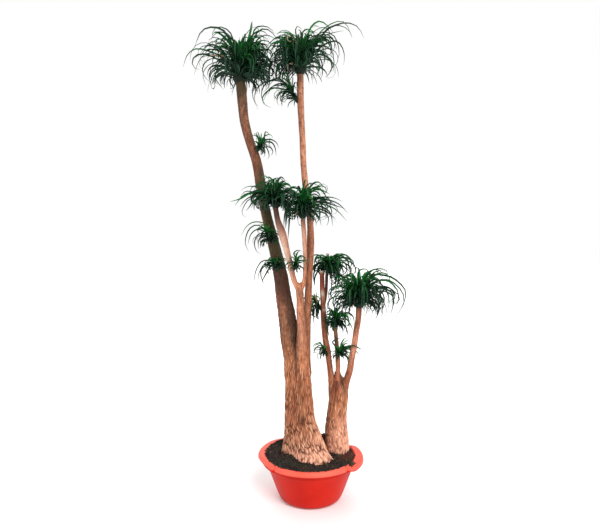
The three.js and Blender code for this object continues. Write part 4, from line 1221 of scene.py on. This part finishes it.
# Dead leaves, dry and brown, given in the same way
dryLeaves = {
    "crown_left": [(-90, 150, -160, 165, -208, 160, -214, 130), (90, 210, 140, 262, 182, 262, 210, 235)],
    "crown_top": [(-15, 137, -26, 90, -22, 30)],
    "crown_right": [(-6, 70, -16, 60, -18, 34)],
}
leafPlan = {
    "steps": 12,
    "width": 0.0172,
    "thickness": 0.0011,
    "channel": 0.26,
    "baseFlare": 0.7,
    "clearOfBark": 0.007,
    "thickestStem": 0.035,
    "boxMargin": 0.012,
    "tries": 16,
    "golden": 0.618034,
    "shortShare": 0.42,
    "dryShare": 0.004,
    "crownCore": 20,
    "coreReach": 1.5,
    # how far a leaf is moved at most by the last redraw (degrees), and its greatest loss of length at each
    "redrawn": {"azimuth": 70, "rise": 25, "shorter": 0.06},
    # leaves drawn at random: bend, arch and curl turn the slope, sweep the heading and twist the flat face
    # (degrees), and the rest are shares of the head's reach and the leaf's width
    "drawn": {"azimuth": 9, "rise": 14, "bend": (58, 95), "arch": 62, "curl": (60, 170), "sweep": 60,
              "twist": 120, "short": (0.36, 0.66), "long": (0.80, 1.08), "width": (0.7, 1.1),
              "tuftWidth": 0.78},
    # leaves given by points: how far up the core they start, and lower if they hang, and how they lean
    "given": {"share": (0.35, 0.95), "hangsBelow": -40, "hangingShare": 0.35, "lean": 0.45, "twist": (35, 75),
              "width": (0.8, 1.1), "tuftWidth": 0.8, "step": 0.004},
    # which given leaves count as arches by where they end, and which of them may turn to the front (metres)
    "arched": {"reach": 0.12, "below": 0.07, "above": 0.3, "turn": (50, 125)},
    "toFront": {"below": 0.18, "share": 0.4},
}
# Core: its parts round, its girth in the head's radius, ribs and the point on its top (metres), and its
# profile as shares of its height and girth
coreShape = {
    "around": 18,
    "girth": 0.93,
    "ribs": (6, 0.06),
    "tip": 0.003,
    "profile": [(-0.16, 0.60), (-0.06, 0.78), (0.06, 0.95), (0.2, 1.02), (0.35, 1), (0.5, 0.94), (0.7, 0.76),
                (0.85, 0.56), (0.95, 0.34), (1.04, 0.12)],
}


# Axis of a head's core
def coreAxis(head):
    return unit(np.array([head["tilt"][0], head["tilt"][1], head["core"][1]], float))


# A crown, on a stem's end, has a stouter core than a side shoot's tuft
def isCrown(head):
    return head["core"][0] > leafPlan["crownCore"]


# Widths of some leaves: the usual one by a random share, and narrower on a tuft
def leafWidths(head, plan, draw, count):
    width = leafPlan["width"] * draw.uniform(*plan["width"], count)
    return width if isCrown(head) else width * plan["tuftWidth"]


# Leaves of one head as arrays, one number a leaf: lowest first, placed round it by the golden section.
# The lowest stay short, and so does a large share of all. Every leaf goes out fairly straight and then
# bends down past the upright, the lowest least of all, and some hook in at the end.
def drawLeaves(head, draw):
    count, drawn = head["count"], leafPlan["drawn"]
    order = np.arange(count)
    share = (order + 0.5) / count
    turn = 2 * ((order * leafPlan["golden"]) % 1) - 1

    def within(most):
        return draw.uniform(-most, most, count)

    azimuth = head["facing"] + head["spread"] * turn + within(drawn["azimuth"])
    longer = 1 + head["pull"][1] * np.cos(np.radians(azimuth - head["pull"][0]))
    short = draw.uniform(0, 1, count) < leafPlan["shortShare"]
    own = np.where(short, draw.uniform(*drawn["short"], count), draw.uniform(*drawn["long"], count))
    low = smoothStep(0, 0.4, share)
    byPlace = 0.5 + 0.5 * low - 0.12 * smoothStep(0.6, 1, share)
    bend = mix(*drawn["bend"], low) + drawn["arch"] * np.sin(np.pi * share ** 0.9)
    return {
        "share": share,
        "azimuth": azimuth,
        "rise": mix(*head["rise"], share ** 0.85) + within(drawn["rise"]),
        "bend": bend * draw.uniform(0.8, 1.2, count),
        "power": draw.uniform(0.95, 2.0, count),
        "curl": draw.uniform(0, 1, count) ** 1.6 * mix(*drawn["curl"], low),
        "sweep": within(drawn["sweep"]),
        "twist": within(drawn["twist"]),
        "length": head["reach"] / 1000 * byPlace * own * longer,
        "width": leafWidths(head, drawn, draw, count),
        "tone": draw.uniform(0, 1, count),
        "dry": (draw.uniform(0, 1, count) < leafPlan["dryShare"]).astype(float),
    }


# Where a leaf leaves its core: up the axis by its share, and out towards its own side
def leafRoots(head, share, azimuth):
    seat = mix(0.12, 0.9, share) * head["core"][1] / 1000
    outward = np.stack([np.cos(np.radians(azimuth)), np.sin(np.radians(azimuth)), 0 * azimuth], -1)
    inset = head["core"][0] / 1000 * mix(0.72, 0.12, share ** 1.5)
    return np.array(head["at"]) / 1000 + seat[:, None] * coreAxis(head) + outward * inset[:, None]


# Turns the side directions about the ways by an angle each
def turnAbout(side, way, angle):
    return side * np.cos(angle)[..., None] + np.cross(side, way) * np.sin(angle)[..., None]


# Middle lines of many leaves at once. Going out along a leaf its slope is the first rise, less its bend
# times a smooth step of the way gone, less a curl of the last third; its heading sweeps a little aside.
# A batch of leaves is their own numbers and then, point by point, their lines, ways, sides and shares gone.
def leafLines(head, leaf):
    along = np.linspace(0, 1, leafPlan["steps"] + 1)[None]
    column = {key: numbers[:, None] for key, numbers in leaf.items()}
    middle = (along[:, 1:] + along[:, :-1]) / 2

    def direction(share):
        slope = np.radians(column["rise"] - column["bend"] * smoothStep(0, 1, share ** column["power"])
                           - column["curl"] * np.maximum(0, (share - 0.62) / 0.38) ** 1.5)
        heading = np.radians(column["azimuth"] + column["sweep"] * share ** 2)
        level = np.cos(slope)
        return np.stack([np.cos(heading) * level, np.sin(heading) * level, np.sin(slope)], -1), heading

    root = leafRoots(head, leaf["share"], leaf["azimuth"])
    step = direction(middle)[0] * column["length"][..., None] / leafPlan["steps"]
    line = root[:, None] + np.concatenate([np.zeros_like(step[:, :1]), np.cumsum(step, 1)], 1)
    way, heading = direction(along)
    side = np.stack([np.sin(heading), -np.cos(heading), 0 * heading], -1)
    side = turnAbout(side, way, np.radians(column["twist"]) * along)
    return leaf, line, way, side, along + 0 * column["length"]


# The leaves given by points: a smooth curve from the core through them, which leans to the front or the back
# by the head's own draw, and turns its flat face to the front. Leaning moves a point along the line from
# the eye in front of the bowl, so that the arch keeps its outline from there.
def givenLeaves(head, rows, draw, dry):
    count, given = len(rows), leafPlan["given"]
    hanging = np.array([row[-1] < given["hangsBelow"] for row in rows])
    share = draw.uniform(*given["share"], count) * np.where(hanging, given["hangingShare"], 1)
    leaf = {
        "share": share,
        "tone": draw.uniform(0, 1, count),
        "dry": np.full(count, float(dry)),
        "lean": draw.uniform(-given["lean"], given["lean"], count),
        "twist": draw.choice([-1.0, 1.0], count) * draw.uniform(*given["twist"], count),
        "width": leafWidths(head, given, draw, count),
    }
    eye, start = np.array(cameraView["place"]), np.array(head["at"]) / 1000
    roots = leafRoots(head, share, np.array([180.0 if row[0] < 0 else 0.0 for row in rows]))
    even = np.linspace(0, 1, leafPlan["steps"] + 1)
    lines = []
    for row, root, lean in zip(rows, roots, leaf["lean"]):
        flat = np.array([(x, 0, z) for x, z in zip(row[::2], row[1::2])], float) / 1000 + start
        deeper = root[1] + lean * np.linalg.norm(flat - root, axis=1) - eye[1]
        nearer = deeper / (start[1] - eye[1])
        flat = eye + (flat - eye) * nearer[:, None] * [1, 0, 1] + [0, 1, 0] * deeper[:, None]
        whole, _ = evenRows(np.vstack([root, flat]), given["step"])
        gone = np.linspace(0, 1, len(whole))
        lines.append(np.stack([np.interp(even, gone, column) for column in whole.T], -1))
    line = np.array(lines)
    way = unit(np.gradient(line, axis=1))
    along = even[None] + np.zeros((count, 1))
    turn = np.radians(leaf["twist"])[:, None] * np.minimum(1, 0.4 + along)
    return leaf, line, way, turnAbout(squareTo(way, 1), way, turn), along


# True for each leaf that keeps clear of the bark beyond its own core, inside the part's box and out of the
# places kept open
def clearLeaves(head, line, barkTree):
    low = np.array(cadLow) - leafPlan["boxMargin"]
    high = np.array(cadHigh) + leafPlan["boxMargin"]
    clear = np.all((line > low) & (line < high), axis=(1, 2))
    for corners in keptOpen.get(head["name"], []):
        shutLow, shutHigh = np.array(corners) / 1000
        clear &= ~np.all((line > shutLow) & (line < shutHigh), axis=2).any(axis=1)
    free = np.linalg.norm(line - line[:, :1], axis=2) > head["core"][0] / 1000 * leafPlan["coreReach"]
    for index in np.flatnonzero(clear):
        clear[index] = not any(barkNear(Vector(place), barkTree) for place in line[index][free[index]])
    return clear


# True where a place is inside the bark or too close over it
def barkNear(place, barkTree):
    bark, outward, _, apart = barkTree.find_nearest(place, leafPlan["thickestStem"])
    return bark is not None and (apart < leafPlan["clearOfBark"] or (place - bark).dot(outward) < 0)


# The leaves of a batch that a mask keeps
def chosen(batch, keep):
    return {key: numbers[keep] for key, numbers in batch[0].items()}, *(part[keep] for part in batch[1:])


# Leaves drawn at random, each redrawn a little looser until it is clear of the bark
def randomLeaves(head, draw, barkTree):
    leaf, redrawn = drawLeaves(head, draw), leafPlan["redrawn"]
    kept = []
    for attempt in range(leafPlan["tries"]):
        batch = leafLines(head, leaf)
        clear = clearLeaves(head, batch[1], barkTree)
        kept.append(chosen(batch, clear))
        leaf = chosen(batch, ~clear)[0]
        left = len(leaf["share"])
        if left == 0:
            break
        loose = (attempt + 1) / leafPlan["tries"]
        for key in ("azimuth", "rise"):
            most = redrawn[key]
            leaf[key] = leaf[key] + draw.uniform(-most, most, left) * loose
        leaf["length"] = leaf["length"] * (1 - redrawn["shorter"] * draw.uniform(0, 1, left))
    return kept


# Given leaves, leaned anew to the front or the back until they are clear of the bark
def clearGiven(head, rows, draw, barkTree, dry):
    kept = []
    for _ in range(leafPlan["tries"]):
        if not rows:
            break
        batch = givenLeaves(head, rows, draw, dry)
        clear = clearLeaves(head, batch[1], barkTree)
        kept.append(chosen(batch, clear))
        rows = [row for row, good in zip(rows, clear) if not good]
    return kept


# The given arches again, turned about the head's upright to its back, or the lowest to its front, so that it
# arches all round. Upright leaves and hanging ones aren't turned.
def turnedLeaves(head, kept, draw, barkTree):
    middle = np.array([head["at"][0], head["at"][1], 0]) / 1000
    start = head["at"][2] / 1000
    arch, toFront = leafPlan["arched"], leafPlan["toFront"]
    more = []
    for batch in kept:
        end = batch[1][:, -1]
        arched = (end[:, 2] > start - arch["below"]) & (end[:, 2] < start + arch["above"])
        arched &= np.abs(end[:, 0] - middle[0]) > arch["reach"]
        leaf, line, way, side, along = chosen(batch, arched)
        count = len(line)
        low = line[..., 2].max(axis=1) < start + toFront["below"]
        front = low & (draw.uniform(0, 1, count) < toFront["share"])
        turn = np.radians(draw.uniform(*arch["turn"], count)) * np.where(front, -1, 1)
        turn = turn * np.sign(line[:, -1, 0] - middle[0])
        cosine, sine, none = np.cos(turn), np.sin(turn), 0 * turn
        matrix = np.array([[cosine, sine, none], [-sine, cosine, none], [none, none, none + 1]])
        matrix = matrix.transpose(2, 0, 1)
        batch = leaf, (line - middle) @ matrix + middle, way @ matrix, side @ matrix, along
        more.append(chosen(batch, clearLeaves(head, batch[1], barkTree)))
    return more


# Blades: each ring is two lifted edges, and between them the keel below and the channel's floor over it, so
# that a leaf is closed and thin. It flares at its base and tapers to its tip.
def bladeRings(leaf, line, way, side, along):
    flared = 1 + leafPlan["baseFlare"] * np.exp(-along / 0.05)
    width = leaf["width"][:, None] * (1 - 0.93 * along ** 2.3) * flared
    up = np.cross(side, way)
    half = side * (width / 2)[..., None]
    lift = up * (width * leafPlan["channel"] * (1 - 0.5 * along))[..., None]
    thick = up * (leafPlan["thickness"] * (1 - 0.7 * along))[..., None]
    return np.stack([line - half + lift, line - thick, line + half + lift, line], 2)


# Core: the tight swollen leaf bases that the leaves leave from, as rings of the profile with winding ribs
def coreTube(head):
    radius, height = np.array(head["core"]) / 1000
    axis = coreAxis(head)
    across = squareTo(axis, 0)
    share, width = np.array(coreShape["profile"]).T
    angle = roundAngles(coreShape["around"])
    ribs, depth = coreShape["ribs"]
    ribbed = 1 + depth * np.cos(ribs * angle + 9 * share[:, None])
    reach = radius * coreShape["girth"] * width[:, None] * ribbed
    centre = np.array(head["at"]) / 1000 + (share * height)[:, None] * axis
    ring = ringPoints(centre, reach, angle, across, np.cross(axis, across))
    return closedTube(ring, [centre[0], centre[-1] + axis * coreShape["tip"]], {})


# The two thin edges of each blade stay sharp
def keepEdgesSharp(mesh, bladeVertices):
    edges = readRows(mesh.edges, "vertices", 2, np.int32)
    corner = edges % 4
    sharp = (corner[:, 0] == corner[:, 1]) & (corner[:, 0] % 2 == 0) & (edges.max(1) < bladeVertices)
    mesh.attributes.new("sharp_edge", "BOOLEAN", "EDGE").data.foreach_set("value", sharp)


# One head: random leaves and tangles, given leaves and, on a crown, their turned copies, and dead ones,
# as closed blades of four points a ring, with the core
def makeHead(head, material, barkTree):
    draw = np.random.default_rng(head["seed"])
    kept = randomLeaves(head, draw, barkTree)
    for more in tangles.get(head["name"], []):
        kept += randomLeaves({**head, **more}, draw, barkTree)
    given = clearGiven(head, standOut.get(head["name"], []), draw, barkTree, False)
    kept += given
    if isCrown(head):
        kept += turnedLeaves(head, given, draw, barkTree)
    kept += clearGiven(head, dryLeaves.get(head["name"], []), draw, barkTree, True)
    leaf = {key: np.concatenate([batch[0][key] for batch in kept])
            for key in ("share", "tone", "dry", "width")}
    line, way, side, along = (np.concatenate([batch[k] for batch in kept]) for k in range(1, 5))
    rings = bladeRings(leaf, line, way, side, along)
    count, rows = rings.shape[:2]
    blade = 4 * rows
    one = tubeFaces(rows, 4) + [[3, 2, 1, 0], list(range(blade - 4, blade))]
    faces = (np.array(one)[None] + blade * np.arange(count)[:, None, None]).reshape(-1, 4).tolist()
    core = coreTube(head)
    faces += [[index + count * blade for index in face] for face in core["faces"]]
    values = {
        "tone": np.repeat(leaf["tone"], blade),
        "inner": np.repeat(leaf["share"], blade),
        "dry": np.repeat(leaf["dry"], blade),
        "along": np.repeat(along, 4, axis=1),
        "across": np.tile([0, 0.5, 1, 0.5], count * rows),
    }
    values = {key: np.append(numbers, np.full(len(core["vertices"]), 0.2 if key == "tone" else 0.0))
              for key, numbers in values.items()}
    vertices = np.vstack([rings.reshape(-1, 3), core["vertices"]])
    shape = {"vertices": vertices, "faces": faces, "values": values}
    piece = newPiece(head["name"] + "_leaves", shape, material)
    keepEdgesSharp(piece.data, count * blade)
    dress(piece, "leaf", head["name"])
    return count


# Strap leaf: tough and waxy, near-black green with brighter young leaves and dry grey-green tips, and painted
# shade darkening each leaf's base deep in its head
def strapLeaf():
    material, tree = newMaterial("waxyStrapLeaf")
    given = {name: addNode(tree, "Attribute", output="Fac", attribute_name=name)
             for name in "tone inner along across dry".split()}
    place = addNode(tree, "TexCoord", output="Object")
    mottle = addNode(tree, "TexNoise", {"Vector": place, "Scale": 70.0, "Detail": 3.0})
    young = layColours(tree, "0a4317", [(given["tone"], 0, 1, 0, 1, "1a7a28")])
    straw = layColours(tree, "8a6a54", [(mottle, 0, 1, 0, 1, "c0a48c")])
    colour = layColours(tree, "03150a", [
        (given["tone"], 0, 1, 0, 1, "0c3b20"),
        (given["inner"], 0.5, 1, 0, 1, young),
        # painted shade: each leaf darkens to near-black at its base, deep in the head
        (given["along"], 0, 0.14, 0.75, 0, "081508"),
        (given["along"], 0.7, 1, 0, 0.5, "3d5348"),
        (given["dry"], 0, 1, 0, 1, straw),
    ])
    ribs = addNode(tree, "Math", {0: given["across"], 1: 90.0}, operation="MULTIPLY")
    veins = addNode(tree, "Math", {0: ribs}, operation="SINE")
    gloss = addNode(tree, "MapRange", {
        "Value": mottle, "From Min": 0.3, "From Max": 0.7, "To Min": 0.48, "To Max": 0.66})
    bump = addNode(tree, "Bump", {"Height": veins, "Strength": 0.3, "Distance": 0.0003})
    closeMaterial(tree, {"Base Color": colour, "Roughness": gloss, "Normal": bump, "IOR": 1.3})
    return material


# One search tree over the bark of both trunks
def barkSearch(pieces):
    vertices, faces = [], []
    for piece in pieces:
        start = len(vertices)
        vertices += [vertex.co.copy() for vertex in piece.data.vertices]
        faces += [[start + index for index in polygon.vertices] for polygon in piece.data.polygons]
    return BVHTree.FromPolygons(vertices, faces)


leafMaterial = strapLeaf()
barkTree = barkSearch(trunks)
print("heads made,", sum(makeHead(head, leafMaterial, barkTree) for head in heads), "leaves")
